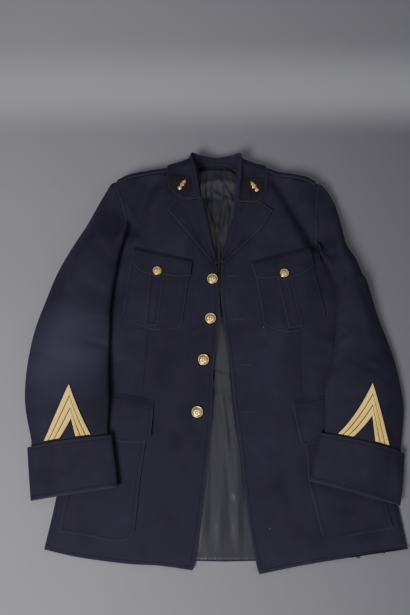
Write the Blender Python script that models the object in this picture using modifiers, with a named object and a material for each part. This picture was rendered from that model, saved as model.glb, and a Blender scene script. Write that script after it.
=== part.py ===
"""A navy dress uniform jacket, laid open on its back.

The underside rests at z = 0. +X runs to the viewer's right, +Y from hem to
collar. The tables hold plan positions and heights in centimetres.
"""
import bpy
import numpy as np

CM = 0.01
JACKET = "dress_uniform_jacket"

# Walls and clearances, in centimetres.
SEAM = 0.03
REST = 0.06
BACK_WALL = 0.18
FRONT_WALL = 0.24
LINING_WALL = 0.1
LAPEL_WALL = 0.25
COLLAR_WALL = 0.26
SLEEVE_WALL = 0.2
CUFF_WALL = 0.25
PATCH_WALL = 0.2
FLAP_WALL = 0.22
STRAP_WALL = 0.22
BRAID_WALL = 0.14
VELVET_WALL = 0.1
PLEAT_WALL = 0.12
MIDDLE = 1.0
ROLL = 0.38
SIDE_SEAM = 0.52
EDGE_ROUND = 1.5
SHOULDER_ROUND = 1.4

# Real sizes of the buttons, in centimetres.
FRONT_BUTTON = 2.05
FLAP_BUTTON = 1.7

# Height of the fronts from hem to shoulder: y, height.
BODY_HEIGHT = [(-40, 0.95), (-30, 1.15), (-18, 1.5), (-6, 2.0), (5, 2.5), (15, 2.95),
               (24, 3.45), (31, 3.75), (40, 3.8)]
# Share of that height from the front edge (0) to the side seam (1).
ACROSS = [(0.0, 0.76), (0.2, 0.92), (0.4, 1.0), (0.6, 0.93), (0.8, 0.72), (1.0, 0.66)]

# Side seam and armpit of each side: x at a given y, and y of the underarm at a given x.
LEFT_SIDE = [(-36, -28.3), (-28, -27.0), (-15, -25.6), (0, -25.0), (15, -25.2), (24, -25.2)]
RIGHT_SIDE = [(-36, 32.4), (-28, 31.4), (-15, 29.2), (0, 28.0), (11, 27.8), (24, 27.8)]
LEFT_UNDERARM = [(-25.6, 14.3), (-23.4, 17.8), (-20, 20.7), (-16.8, 22.4)]
RIGHT_UNDERARM = [(21.0, 17.1), (23, 16.2), (25.5, 14.2), (28.2, 10.6)]

# Plan outlines from hem to neck: x, y.
LEFT_EDGE = [(-3.5, -38.9), (-3.1, -37.6), (-1.7, -27.9), (-0.8, -19.6), (-0.3, -14.5),
             (0.1, -5.0), (0.5, -2.1), (1.15, 4.7), (1.0, 11.6), (0.9, 15.0)]
RIGHT_EDGE = [(7.5, -39.5), (7.1, -38.1), (6.3, -33.5), (5.3, -25.6), (4.8, -19.5),
              (4.0, -13.2), (3.4, -6.4), (3.0, -2.1), (2.1, 4.3), (1.6, 9.0), (1.7, 15.2)]
LEFT_ROLL = [(0.7, 15.6), (-0.3, 20.4), (-1.0, 24.0), (-2.1, 28.1), (-2.95, 32.3), (-3.9, 36.7)]
RIGHT_ROLL = [(1.9, 15.8), (3.0, 20.4), (3.9, 23.5), (5.0, 26.9), (5.3, 30.6), (5.7, 36.5)]
LEFT_HEM = [(-3.5, -38.9), (-8.8, -38.2), (-14.3, -37.9), (-22.5, -36.9), (-28.3, -35.7)]
RIGHT_HEM = [(7.5, -39.5), (14.9, -38.1), (23.5, -36.8), (32.4, -35.4)]
LEFT_ARMHOLE = [(-16.8, 22.4), (-17.4, 25.6), (-18.6, 29.8), (-19.98, 33.62)]
RIGHT_ARMHOLE = [(21.0, 17.1), (20.6, 22.0), (20.9, 28.2), (21.8, 33.3)]
LEFT_SHOULDER = [(-3.9, 36.7), (-9.3, 36.1), (-14.0, 35.3), (-17.0, 34.6), (-19.98, 33.62)]
RIGHT_SHOULDER = [(5.7, 36.5), (11.4, 36.1), (15.6, 34.9), (18.5, 34.3), (21.8, 33.3)]

# Soft hollows of the fronts: from x, y to x, y, depth, half width.
BODY_FOLDS = [
    (-13.0, 32.5, -16.2, 21.0, 0.75, 2.2),
    (12.6, 34.0, 20.4, 18.5, 0.8, 2.2),
    (-12.2, 1.0, -13.0, -9.0, 0.2, 1.6),
    (16.2, 1.0, 16.4, -9.5, 0.2, 1.6),
    (-6.0, 2.0, -8.0, -16.0, 0.15, 1.8),
    (10.5, 0.0, 9.0, -18.0, 0.2, 1.8),
]

# Sleeve rings, shoulder to wrist: outer x, outer y, inner x, inner y, bulge.
LEFT_SLEEVE = [
    (-20.25, 34.0, -16.8, 22.4, 0.8), (-22.3, 28.9, -17.2, 19.8, 1.5),
    (-25.0, 24.2, -17.8, 16.8, 1.9), (-27.7, 19.0, -18.3, 13.6, 2.1),
    (-30.0, 13.9, -18.7, 10.0, 2.1), (-31.8, 8.0, -19.0, 6.2, 1.9),
    (-33.3, 2.4, -19.0, 2.0, 1.8), (-34.0, -3.6, -18.9, -2.9, 1.8),
    (-34.0, -9.0, -18.6, -8.0, 1.7), (-33.4, -14.0, -18.1, -12.6, 1.5),
    (-32.7, -18.2, -17.6, -16.4, 1.4), (-32.2, -21.5, -17.2, -19.4, 1.3),
    (-31.1, -28.0, -16.1, -25.8, 1.2),
]
RIGHT_SLEEVE = [
    (21.95, 33.5, 21.05, 17.1, 0.8), (24.5, 29.6, 21.8, 14.6, 1.4),
    (25.7, 24.6, 22.7, 12.0, 1.8), (26.4, 20.3, 23.3, 9.6, 2.0),
    (28.2, 16.6, 23.4, 7.4, 2.1), (29.8, 10.7, 23.1, 4.6, 2.1),
    (31.5, 3.9, 22.7, 1.0, 1.9), (33.3, -2.9, 21.7, -3.6, 1.8),
    (34.09, -9.5, 20.3, -7.6, 1.7), (34.09, -14.5, 19.4, -12.4, 1.5),
    (33.6, -19.2, 18.7, -16.1, 1.4), (33.0, -22.4, 18.0, -18.8, 1.3),
    (31.5, -28.8, 16.3, -24.8, 1.2),
]
# Shift of each sleeve head onto its armhole's curve: share across, distance along x.
LEFT_HEAD = [(0.0, 0.0), (0.33, 0.24), (0.7, 0.18), (1.0, 0.0)]
RIGHT_HEAD = [(0.0, 0.08), (0.33, -0.66), (0.7, -0.62), (1.0, 0.0)]
# Sleeve creases: ring, where it crosses the sleeve (0 outer, 1 inner), length along the
# sleeve in rings, length across, depth in centimetres.
LEFT_CREASES = [(6.1, 0.75, 0.45, 0.30, 0.55), (5.2, 0.5, 0.5, 0.3, -0.25), (7.4, 0.6, 0.5, 0.3, 0.2),
                (1.4, 0.55, 0.8, 0.3, 0.4)]
RIGHT_CREASES = [(5.6, 0.75, 0.5, 0.30, 0.45), (6.9, 0.55, 0.5, 0.3, 0.3), (2.4, 0.5, 0.8, 0.3, 0.35)]
CUFF_TOP_RING = 10.3
WRIST_RING = 12.0
CUFF_RAMP = 2.2
CUFF_INSET = 0.37
INSET_REACH = 2.2
SLEEVE_FOLD = 0.85
LEAF_TURN = 34.9
SLEEVE_REST = 0.36
POCKET_STACK = 0.68

# Collar stations from the left end round the neck to the right end:
# outer edge x, y, z; ridge x, y, z; foot of the stand x, y, z.
COLLAR = [
    (-8.7, 31.3, 4.0, -2.5, 28.75, 4.05, -2.0, 28.9, 2.9),
    (-8.9, 33.4, 4.0, -2.95, 32.3, 4.5, -2.35, 32.2, 2.9),
    (-9.1, 35.4, 4.0, -3.5, 35.8, 4.85, -2.7, 35.2, 2.6),
    (-8.9, 37.15, 2.6, -4.1, 38.5, 4.75, -2.9, 36.9, 2.0),
    (-6.2, 37.9, 0.5, -2.4, 39.2, 3.4, -1.9, 38.0, 1.45),
    (0.9, 37.0, 0.02, 0.9, 39.5, 2.3, 0.9, 38.4, 1.2),
    (7.8, 37.8, 0.5, 4.0, 39.1, 3.4, 3.7, 37.9, 1.45),
    (10.9, 37.0, 2.6, 5.7, 38.4, 4.75, 4.7, 36.7, 2.0),
    (11.2, 35.1, 4.0, 5.9, 35.6, 4.85, 5.1, 35.0, 2.6),
    (11.1, 32.6, 4.0, 5.6, 31.9, 4.5, 5.0, 31.8, 2.9),
    (11.0, 30.4, 4.0, 5.25, 28.3, 4.05, 4.75, 28.5, 2.9),
]
LEFT_COLLAR_END = [(-8.7, 31.3), (-6.3, 28.95), (-2.5, 28.75)]
RIGHT_COLLAR_END = [(11.0, 30.4), (9.0, 28.45), (5.25, 28.3)]

# Lapel outlines below the collar: tip, outer edge and gorge, x, y.
LEFT_LAPEL = [(0.2, 15.3), (-3.9, 20.5), (-8.9, 26.6)]
RIGHT_LAPEL = [(2.3, 15.5), (4.4, 17.5), (7.6, 20.6), (9.8, 22.9), (11.9, 26.4)]
LEFT_GORGE = [(-8.9, 26.6), (-6.4, 28.68), (-2.1, 28.5)]
RIGHT_GORGE = [(11.9, 26.4), (9.0, 28.2), (5.15, 28.03)]


def table(rows, column, at):
    """Piecewise linear reading of one column of a table against its first column."""
    data = np.array(sorted(rows))
    return np.interp(at, data[:, 0], data[:, column])


def smooth(rows, count):
    """Samples at equal steps of arc along a Catmull-Rom curve through the rows."""
    data = np.array(rows, float)
    if len(data) == 2:
        return data[0] + (data[1] - data[0]) * np.linspace(0, 1, count)[:, None]
    ends = np.vstack([2 * data[0] - data[1], data, 2 * data[-1] - data[-2]])
    fine = []
    for k in range(len(data) - 1):
        a, b, c, d = ends[k:k + 4]
        t = np.linspace(0, 1, 17)[:-1, None]
        fine.append(0.5 * (2 * b + (c - a) * t + (2 * a - 5 * b + 4 * c - d) * t ** 2
                           + (3 * b - a - 3 * c + d) * t ** 3))
    fine = np.vstack(fine + [data[-1:]])
    run = np.r_[0, np.cumsum(np.linalg.norm(np.diff(fine[:, :2], axis=0), axis=1))]
    at = np.linspace(0, run[-1], count)
    return np.stack([np.interp(at, run, fine[:, k]) for k in range(data.shape[1])], 1)


def stations(rows, at):
    """Catmull-Rom reading of a table's rows at fractional row numbers."""
    data = np.array(rows, float)
    ends = np.vstack([2 * data[0] - data[1], data, 2 * data[-1] - data[-2]])
    at = np.clip(np.asarray(at, float), 0, len(data) - 1)
    k = np.minimum(at.astype(int), len(data) - 2)
    t = (at - k)[..., None]
    a, b, c, d = ends[k], ends[k + 1], ends[k + 2], ends[k + 3]
    return 0.5 * (2 * b + (c - a) * t + (2 * a - 5 * b + 4 * c - d) * t ** 2
                  + (3 * b - a - 3 * c + d) * t ** 3)


def step(low, high, value):
    """Smooth rise from 0 at low to 1 at high."""
    t = np.clip((value - low) / (high - low), 0, 1)
    return t * t * (3 - 2 * t)


def coons(bottom, top, start, end):
    """Patch between four edge curves: bottom and top run across, start and end run up."""
    rows, columns = len(start), len(bottom)
    u = np.linspace(0, 1, columns)[None, :, None]
    v = np.linspace(0, 1, rows)[:, None, None]
    lofted = (1 - v) * bottom[None] + v * top[None]
    lofted = lofted + (1 - u) * start[:, None] + u * end[:, None]
    corners = (1 - v) * ((1 - u) * bottom[0] + u * bottom[-1]) + v * ((1 - u) * top[0] + u * top[-1])
    return lofted - corners


def side_distance(x, y, above=-1):
    """How far a plan point lies inside the side seams and underarms, in centimetres.

    Points above an underarm count as outside, or as inside where above is 1.
    """
    left, right = table(LEFT_UNDERARM, 1, x) - y, table(RIGHT_UNDERARM, 1, x) - y
    left, right = np.where(left < 0, -above * left, left), np.where(right < 0, -above * right, right)
    left = np.minimum(x - table(LEFT_SIDE, 1, y), left + 30 * (x > LEFT_UNDERARM[-1][0]))
    right = np.minimum(table(RIGHT_SIDE, 1, y) - x, right + 30 * (x < RIGHT_UNDERARM[0][0]))
    return np.where(x < MIDDLE, left, right)


def shoulder_distance(x, y):
    """How far a plan point lies below the shoulder line, in centimetres."""
    line = np.where(x < MIDDLE, table(LEFT_SHOULDER, 1, x), table(RIGHT_SHOULDER, 1, x))
    return line - y


def rounded(distance, radius):
    """Quarter-circle rise from 0 at the edge to 1 at the radius."""
    return np.sqrt(1 - (1 - np.clip(distance / radius, 0, 1)) ** 2)


def along(x, y, fold):
    """Bell-shaped weight of a plan point about a fold line with soft ends."""
    x0, y0, x1, y1, depth, width = fold
    dx, dy = x1 - x0, y1 - y0
    t = np.clip(((x - x0) * dx + (y - y0) * dy) / (dx * dx + dy * dy), 0, 1)
    away = np.hypot(x - x0 - t * dx, y - y0 - t * dy)
    return depth * np.exp(-(away / width) ** 2)


def front_height(x, y, turned=True):
    """Top of the fronts: crowned, hollowed by the folds, rounded at shoulders and turned-in sides."""
    edge = np.where(x < MIDDLE, table([(b, a) for a, b in LEFT_EDGE + LEFT_ROLL], 1, y),
                    table([(b, a) for a, b in RIGHT_EDGE + RIGHT_ROLL], 1, y))
    side = np.where(x < MIDDLE, -25.5, 28.5)
    share = np.clip((x - edge) / (side - edge), 0, 1)
    crown = table(BODY_HEIGHT, 1, y) * np.interp(share, *np.array(ACROSS).T)
    for fold in BODY_FOLDS:
        crown = crown - along(x, y, fold)
    seam = np.maximum(0.5 * crown, np.minimum(crown, SIDE_SEAM))
    if turned:
        crown = seam + (crown - seam) * rounded(side_distance(x, y, 1), EDGE_ROUND)
    low = 0.62 * crown
    return low + (crown - low) * rounded(shoulder_distance(x, y), SHOULDER_ROUND)


def bed_height(x, y, ring):
    """What the sleeve lies on: the floor, or the side of the body and its pocket."""
    over = step(-4.8, -0.4, side_distance(x, y))
    stack = SLEEVE_REST + (POCKET_STACK - SLEEVE_REST) * step(6.5, 8.5, ring)
    return over * (front_height(x, y, False) + stack)


def inset_share(rings, ring, inset):
    """Share of a sleeve's width by which an inset draws its folds in."""
    row = stations(rings, ring)
    return INSET_REACH * inset / np.hypot(row[..., 2] - row[..., 0], row[..., 3] - row[..., 1])


def sleeve_point(rings, creases, ring, angle, inset=0.0):
    """Outer surface of a sleeve. Angle 0 is the outer fold, pi the inner fold, the top between.

    An inset draws the section in on all sides, for the length that runs inside the cuff.
    """
    ox, oy, ix, iy, bulge = np.moveaxis(stations(rings, ring), -1, 0)
    pull = inset_share(rings, ring, inset)
    share = pull + (1 - 2 * pull) * (0.5 - 0.5 * np.cos(angle))
    x, y = ox + (ix - ox) * share, oy + (iy - oy) * share
    lift = 2 * np.sqrt(np.clip(share * (1 - share), 0, 1))
    bed = bed_height(x, y, ring)
    head = np.where(x < MIDDLE, table(LEFT_HEAD, 1, share), table(RIGHT_HEAD, 1, share))
    x = x + head * (1 - step(0.0, 1.6, ring))
    fold = SLEEVE_FOLD + bed_height(ix, iy, ring) * step(-0.12, 0.44, share)
    fold = np.maximum(fold, bed + 0.4)
    top = fold + bulge * lift ** 0.85
    for centre, across, long, wide, depth in creases:
        top = top - depth * np.exp(-((ring - centre) / long) ** 2 - ((share - across) / wide) ** 2)
    seam = (1 - step(0.0, 2.2, ring)) * (1 - step(0.72, 0.98, share))
    top = top + (front_height(x, y) - top) * seam
    bottom = bed + (fold - bed) * (1 - lift ** 0.4)
    closed = 1 - inset / CUFF_INSET * (1 - np.abs(np.sin(angle)) ** 0.5)
    half = np.maximum((top - bottom) / 2 - inset, 0.0) * closed
    z = (top + bottom) / 2 + np.where(np.sin(angle) >= -1e-9, half, -half)
    return np.stack([x, y, z], -1)


def roll_height(x, y, away):
    """Top of a lapel or collar leaf at a distance from its roll line."""
    return front_height(x, y) + REST + LAPEL_WALL + 0.42 * np.exp(-(away / 1.3) ** 2)


def srgb(red, green, blue):
    """Linear colour of an 8-bit display colour."""
    return tuple(((c / 255 + 0.055) / 1.055) ** 2.4 if c > 10 else c / 3295 for c in (red, green, blue))


def material(name, colour, roughness, metallic=0.0):
    """Plain Principled material."""
    made = bpy.data.materials.new(name)
    made.use_nodes = True
    shader = made.node_tree.nodes["Principled BSDF"]
    shader.inputs["Base Color"].default_value = (*srgb(*colour), 1)
    shader.inputs["Roughness"].default_value = roughness
    shader.inputs["Metallic"].default_value = metallic
    return made


def link(mesh, name, finish):
    """Puts a mesh into the jacket's collection as a named object."""
    piece = bpy.data.objects.new(name, mesh)
    mesh.materials.append(finish)
    bpy.data.collections[JACKET].objects.link(piece)
    return piece


def wall(name, points, thickness, finish, facing="up", wrap=False):
    """Cloth wall: an open grid whose outer face is given, with Solidify inward."""
    rows, columns = points.shape[:2]
    index = np.arange(rows * columns).reshape(rows, columns)
    if wrap:
        index = np.hstack([index, index[:, :1]])
    faces = np.stack([index[:-1, :-1], index[1:, :-1], index[1:, 1:], index[:-1, 1:]], -1).reshape(-1, 4)
    corners = points.reshape(-1, 3)[faces]
    normals = np.cross(corners[:, 2] - corners[:, 0], corners[:, 3] - corners[:, 1])
    if facing == "out":
        centres = points.mean(axis=1)
        ring = np.repeat(np.arange(rows - 1), faces.shape[0] // (rows - 1))
        sign = (normals * (corners.mean(axis=1) - centres[ring])).sum()
    else:
        sign = normals[:, 2].sum() * (1 if facing == "up" else -1)
    if sign < 0:
        faces = faces[:, ::-1]
    mesh = bpy.data.meshes.new(name)
    mesh.from_pydata((points.reshape(-1, 3) * CM).tolist(), [], faces.tolist())
    mesh.update()
    mesh.shade_smooth()
    piece = link(mesh, name, finish)
    solid = piece.modifiers.new("wall", "SOLIDIFY")
    solid.thickness = thickness * CM
    solid.offset = -1.0
    return piece


def graded(count, tight):
    """Steps from 0 to 1 that close up towards 1."""
    t = np.linspace(0, 1, count)
    return 1 - (1 - t) ** tight


def front(name, side, rows, columns, finish):
    """One front: from its edge and roll line out to the side seam and armhole."""
    edge, roll, hem, arm, shoulder, under, seam = side
    inner = smooth(edge + roll, rows)
    outer = smooth([(x, y) for y, x in seam if y < 10] + under + arm[1:], rows)
    bottom, top = smooth(hem, columns), smooth(shoulder, columns)
    outer[0], outer[-1] = bottom[-1], top[-1]
    inner[0], inner[-1] = bottom[0], top[0]
    spread = graded(columns, 1.7)
    even = np.linspace(0, 1, columns)
    plan = coons(bottom, top, inner, outer)
    plan = np.stack([np.stack([np.interp(spread, even, row[:, k]) for k in (0, 1)], -1) for row in plan])
    z = front_height(plan[..., 0], plan[..., 1])
    wall(name, np.dstack([plan, z]), FRONT_WALL, finish)


def back(finish):
    """Back panel, flat on the floor and turned up at the side seams and shoulders."""
    rows, half = 19, 10
    left_outer = smooth([(x, y) for y, x in LEFT_SIDE if y < 10] + LEFT_UNDERARM + LEFT_ARMHOLE[1:], rows)
    right_outer = smooth([(x, y) for y, x in RIGHT_SIDE[:5] if y < 10] + RIGHT_UNDERARM[::-1]
                         + RIGHT_ARMHOLE[1:], rows)
    left_outer[0], right_outer[0] = (-28.2, -35.6), (32.3, -35.3)
    centre_x = 1.9
    hem_left = smooth([(centre_x, -37.6), (-10, -37.3), (-20, -36.6), tuple(left_outer[0])], half)
    hem_right = smooth([(centre_x, -37.6), (14, -37.3), (24, -36.5), tuple(right_outer[0])], half)
    neck_left = smooth([(centre_x, 37.9), (-3.9, 36.7)] + LEFT_SHOULDER[1:], half)
    neck_right = smooth([(centre_x, 37.9), (5.7, 36.5)] + RIGHT_SHOULDER[1:], half)
    spine = smooth([(centre_x, -37.6), (centre_x, 37.9)], rows)
    left = coons(hem_left, neck_left, spine, left_outer)
    right = coons(hem_right, neck_right, spine, right_outer)
    plan = np.concatenate([left[:, :0:-1], right], axis=1)
    x, y = plan[..., 0], plan[..., 1]
    room = np.maximum(front_height(x, y) - FRONT_WALL - BACK_WALL - REST - 0.1, 0)
    lift_side = 1 - rounded(side_distance(x, y, 1), EDGE_ROUND)
    lift_top = 1 - rounded(shoulder_distance(x, y), SHOULDER_ROUND)
    lift_top = 0.9 * lift_top * step(4.2, 6.5, np.abs(x - 0.9))
    under_fall = 0.36 * step(32.5, 35.5, y) * (1 - step(7.5, 10.0, np.abs(x - 0.9)))
    z = np.maximum(np.maximum(lift_side, lift_top) * room, under_fall)
    wall("back", np.dstack([plan, z]), BACK_WALL, finish, "down")


def back_lining(finish):
    """The stretch of back lining that shows between the fronts."""
    rows, columns = 15, 8
    start = smooth([(-9.0, -37.2), (-6.5, -10.0), (-5.5, 15.0), (-4.0, 34.4)], rows)
    end = smooth([(13.0, -37.2), (10.0, -10.0), (8.5, 15.0), (6.1, 34.2)], rows)
    bottom = smooth([(-9.0, -37.2), (2.0, -37.3), (13.0, -37.2)], columns)
    top = smooth([(-4.0, 34.4), (-2.4, 36.4), (1.1, 37.6), (4.2, 36.3), (6.1, 34.2)], columns)
    plan = coons(bottom, top, start, end)
    x, y = plan[..., 0], plan[..., 1]
    folds = 0.06 + 0.06 * np.sin(x * 1.1 + y * 0.06) + 0.04 * np.sin(x * 2.3 - y * 0.15)
    rest = BACK_WALL + SEAM + LINING_WALL + 0.02 + 0.38 * step(31.5, 35.0, y)
    z = rest + np.maximum(folds, 0) * step(-37.0, -30.0, y)
    wall("back_lining", np.dstack([plan, z]), LINING_WALL, finish)


def lapel(name, roll, edge, gorge, finish):
    """Turned-back lapel: it curls up round the front's roll edge and lies on the front."""
    rows = 10
    low = smooth([p for p in roll if p[1] < 27.0] + [gorge[-1]], rows)
    outer = smooth(edge, rows)
    reach = np.array([-1.1, -1.1, -0.75, 0.0, 1.6, 3.4])
    rise = np.array([-0.75, -0.2, 0.22, 0.48, 0.44, 0.2])
    tail = np.linspace(0.42, 1.0, 5)
    bottom = smooth([low[0], outer[0]], 12)
    top = smooth(gorge[::-1], 12)
    flat = coons(bottom, top, low, outer)
    plan, height = [], []
    across = outer - low
    width = np.linalg.norm(across, axis=1, keepdims=True)
    away = across / width
    slim = np.clip(width[:, 0] * 0.27, 0.08, 1.0)
    for r, z in zip(reach, rise):
        shift = np.where(r > 0, r * ROLL * slim, r * ROLL)[:, None]
        point = low + away * shift
        plan.append(point)
        height.append(front_height(low[:, 0], low[:, 1]) + REST + z + LAPEL_WALL * (z > 0))
    for t in tail:
        column = t * 11
        k = min(int(column), 10)
        point = flat[:, k] + (flat[:, k + 1] - flat[:, k]) * (column - k)
        plan.append(point)
        gap = np.linalg.norm(point - low, axis=1)
        height.append(roll_height(point[:, 0], point[:, 1], gap))
    points = np.dstack([np.stack(plan, 1), np.stack(height, 1)])
    wall(name, points, LAPEL_WALL, finish)


def away_from_roll(x, y):
    """Distance in plan from the roll line of the near side."""
    line = np.where(x < MIDDLE, table([(b, a) for a, b in LEFT_ROLL], 1, y),
                    table([(b, a) for a, b in RIGHT_ROLL], 1, y))
    return np.abs(x - line)


def leaf_height(x, y):
    """Top of the collar's leaf where it lies on the front."""
    return roll_height(x, np.minimum(y, LEAF_TURN), away_from_roll(x, y)) + 0.03


def collar(finish):
    """Collar: leaf, fold at the ridge and stand, carried round the neck."""
    count = 27
    rows = stations(COLLAR, np.linspace(0, len(COLLAR) - 1, count))
    edge, ridge, foot = rows[:, 0:3], rows[:, 3:6], rows[:, 6:9]
    on_front = 1 - step(34.6, 36.6, edge[:, 1])[:, None]
    ends = np.array([smooth(LEFT_COLLAR_END, 11)[[0, 3, 7]], smooth(RIGHT_COLLAR_END, 11)[[0, 3, 7]]])
    section = []
    for rank, t in enumerate((0.0, 0.32, 0.7)):
        wrap_xy = edge[:, :2] + (ridge[:, :2] - edge[:, :2]) * (1 - (1 - t) ** 1.6)
        wrap_z = edge[:, 2] + (ridge[:, 2] - edge[:, 2]) * t ** 3.6
        flat_xy = edge[:, :2] + (ridge[:, :2] - edge[:, :2]) * t
        for end, first, way in ((0, 0, 1), (1, count - 1, -1)):
            shift = ends[end, rank] - flat_xy[first]
            for k in range(6):
                flat_xy[first + way * k] += shift * (1 - k / 6) ** 2
        flat_z = leaf_height(flat_xy[:, 0], flat_xy[:, 1])
        point = np.column_stack([flat_xy, flat_z]) * on_front
        section.append(point + np.column_stack([wrap_xy, wrap_z]) * (1 - on_front))
    top = roll_height(ridge[:, 0], np.minimum(ridge[:, 1], 34.9), np.zeros(count)) + 0.04
    ridge[:, 2] = np.where(on_front[:, 0] > 0.5, np.maximum(top, ridge[:, 2]), ridge[:, 2])
    section += [ridge, ridge * 0.45 + foot * 0.55, foot]
    control = np.stack(section, 1)
    fine = np.stack([stations(row, np.linspace(0, 5, 13)) for row in control])
    leaf_z = leaf_height(fine[:, :7, 0], fine[:, :7, 1])
    fine[:, :7, 2] += (np.maximum(leaf_z, 0) - fine[:, :7, 2]) * on_front
    wall("collar", fine, COLLAR_WALL, finish)


def patch(name, start, end, bottom, top, size, lift, thickness, finish, height=front_height):
    """Flat-cut piece lying on a panel: its plan between four edges, its height from the panel."""
    rows, columns = size
    plan = coons(smooth(bottom, columns), smooth(top, columns), smooth(start, rows), smooth(end, rows))
    x, y = plan[..., 0], plan[..., 1]
    raised = lift if np.isscalar(lift) else np.array(lift)[:, None]
    wall(name, np.dstack([plan, height(x, y) + raised + thickness]), thickness, finish)


def strap(name, shoulder, way, finish):
    """Shoulder strap folded over the shoulder's edge from front to back."""
    line = smooth(shoulder, 40)[14:-2:2]
    count = len(line)
    x, y = line[:, 0], line[:, 1]
    reach = [-0.85, -0.45, -0.1, 0.22, 0.4, 0.36, 0.2]
    share = [1.0, 0.99, 0.955, 0.88, 0.7, 0.45, 0.25]
    crown = front_height(x, y + reach[0]) + REST + STRAP_WALL + 0.12
    points = [np.column_stack([x + way * 0.25 * d, y + d, crown * part]) for d, part in zip(reach, share)]
    wall(name, np.stack(points, 1), STRAP_WALL, finish)


def sleeve(name, rings, creases, finish):
    """Sleeve tube, drawn in where it runs inside the turned-back cuff."""
    ring = np.r_[np.linspace(0, 8.6, 14), 9.0, 9.35, 9.7, 10.05, np.linspace(CUFF_TOP_RING, WRIST_RING, 4)]
    ring[-1] -= 0.06
    angle = np.linspace(0, 2 * np.pi, 23)[:-1]
    grid_ring, grid_angle = np.meshgrid(ring, angle, indexing="ij")
    inset = CUFF_INSET * step(CUFF_TOP_RING - CUFF_RAMP, CUFF_TOP_RING - 0.1, grid_ring)
    wall(name, sleeve_point(rings, creases, grid_ring, grid_angle, inset), SLEEVE_WALL, finish, "out", True)


def cuff(name, rings, creases, finish):
    """Turned-back cuff: a wider tube over the sleeve's end."""
    ring = np.linspace(CUFF_TOP_RING, WRIST_RING, 4)
    angle = np.linspace(0, 2 * np.pi, 23)[:-1]
    grid_ring, grid_angle = np.meshgrid(ring, angle, indexing="ij")
    wall(name, sleeve_point(rings, creases, grid_ring, grid_angle), CUFF_WALL, finish, "out", True)


def chevron(name, rings, creases, inner, outer, finish):
    """One stripe of braid: an upright V laid on the sleeve's upper side."""
    steps = 6
    rows = []
    for side in (inner, outer):
        apex_ring, apex_share, foot_low, foot_high, foot_ring = side
        ring = np.r_[np.linspace(foot_ring, apex_ring, steps), np.linspace(apex_ring, foot_ring, steps)[1:]]
        share = np.r_[np.linspace(foot_low, apex_share, steps), np.linspace(apex_share, foot_high, steps)[1:]]
        inset = CUFF_INSET * step(CUFF_TOP_RING - CUFF_RAMP, CUFF_TOP_RING - 0.1, ring)
        pull = inset_share(rings, ring, inset)
        point = sleeve_point(rings, creases, ring, np.arccos(1 - 2 * (share - pull) / (1 - 2 * pull)), inset)
        point[:, 2] += REST + 0.05 + BRAID_WALL
        rows.append(point)
    wall(name, np.stack(rows), BRAID_WALL, finish)


def button(name, size, x, y, z, finish):
    """Turned gilt button: shank, rim and dome, as a screwed profile."""
    r = size / 2
    profile = [(0.0, 0.58), (0.42, 0.55), (0.72, 0.46), (0.86, 0.38), (0.9, 0.4), (1.0, 0.36), (1.0, 0.26),
               (0.9, 0.2), (0.34, 0.16), (0.34, 0.0), (0.0, 0.0)]
    mesh = bpy.data.meshes.new(name)
    mesh.from_pydata([(a * r * CM, 0, b * r * CM) for a, b in profile], [(k, k + 1) for k in range(10)], [])
    piece = link(mesh, name, finish)
    turn = piece.modifiers.new("turn", "SCREW")
    turn.steps = turn.render_steps = 12
    turn.merge_threshold = 0.00001
    turn.use_merge_vertices = True
    piece.location = (x * CM, y * CM, z * CM)


def sprig(name, x, y, z, turn, finish):
    """Generic leaf sprig: a lobed leaf on a round berry, as a flat raised outline."""
    length, count = 2.5, 15
    t = np.linspace(0.0, 1.0, count)
    half = 0.5 * np.sin(np.pi * t ** 0.8) ** 0.6 * (0.78 + 0.22 * np.cos(6 * np.pi * t)) + 0.02
    right = np.column_stack([half, (t - 0.5) * length])
    left = np.column_stack([-half, (t - 0.5) * length])[::-1]
    outline = np.vstack([right, left])
    shape = bpy.data.curves.new(name, "CURVE")
    shape.dimensions = "2D"
    shape.fill_mode = "BOTH"
    shape.extrude = 0.0005
    line = shape.splines.new("POLY")
    line.points.add(len(outline) - 1)
    for point, (a, b) in zip(line.points, outline):
        point.co = (a * CM, b * CM, 0, 1)
    line.use_cyclic_u = True
    shape.materials.append(finish)
    piece = bpy.data.objects.new(name, shape)
    bpy.data.collections[JACKET].objects.link(piece)
    piece.location = (x * CM, y * CM, z * CM)
    piece.rotation_euler = (0, 0, turn)


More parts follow.
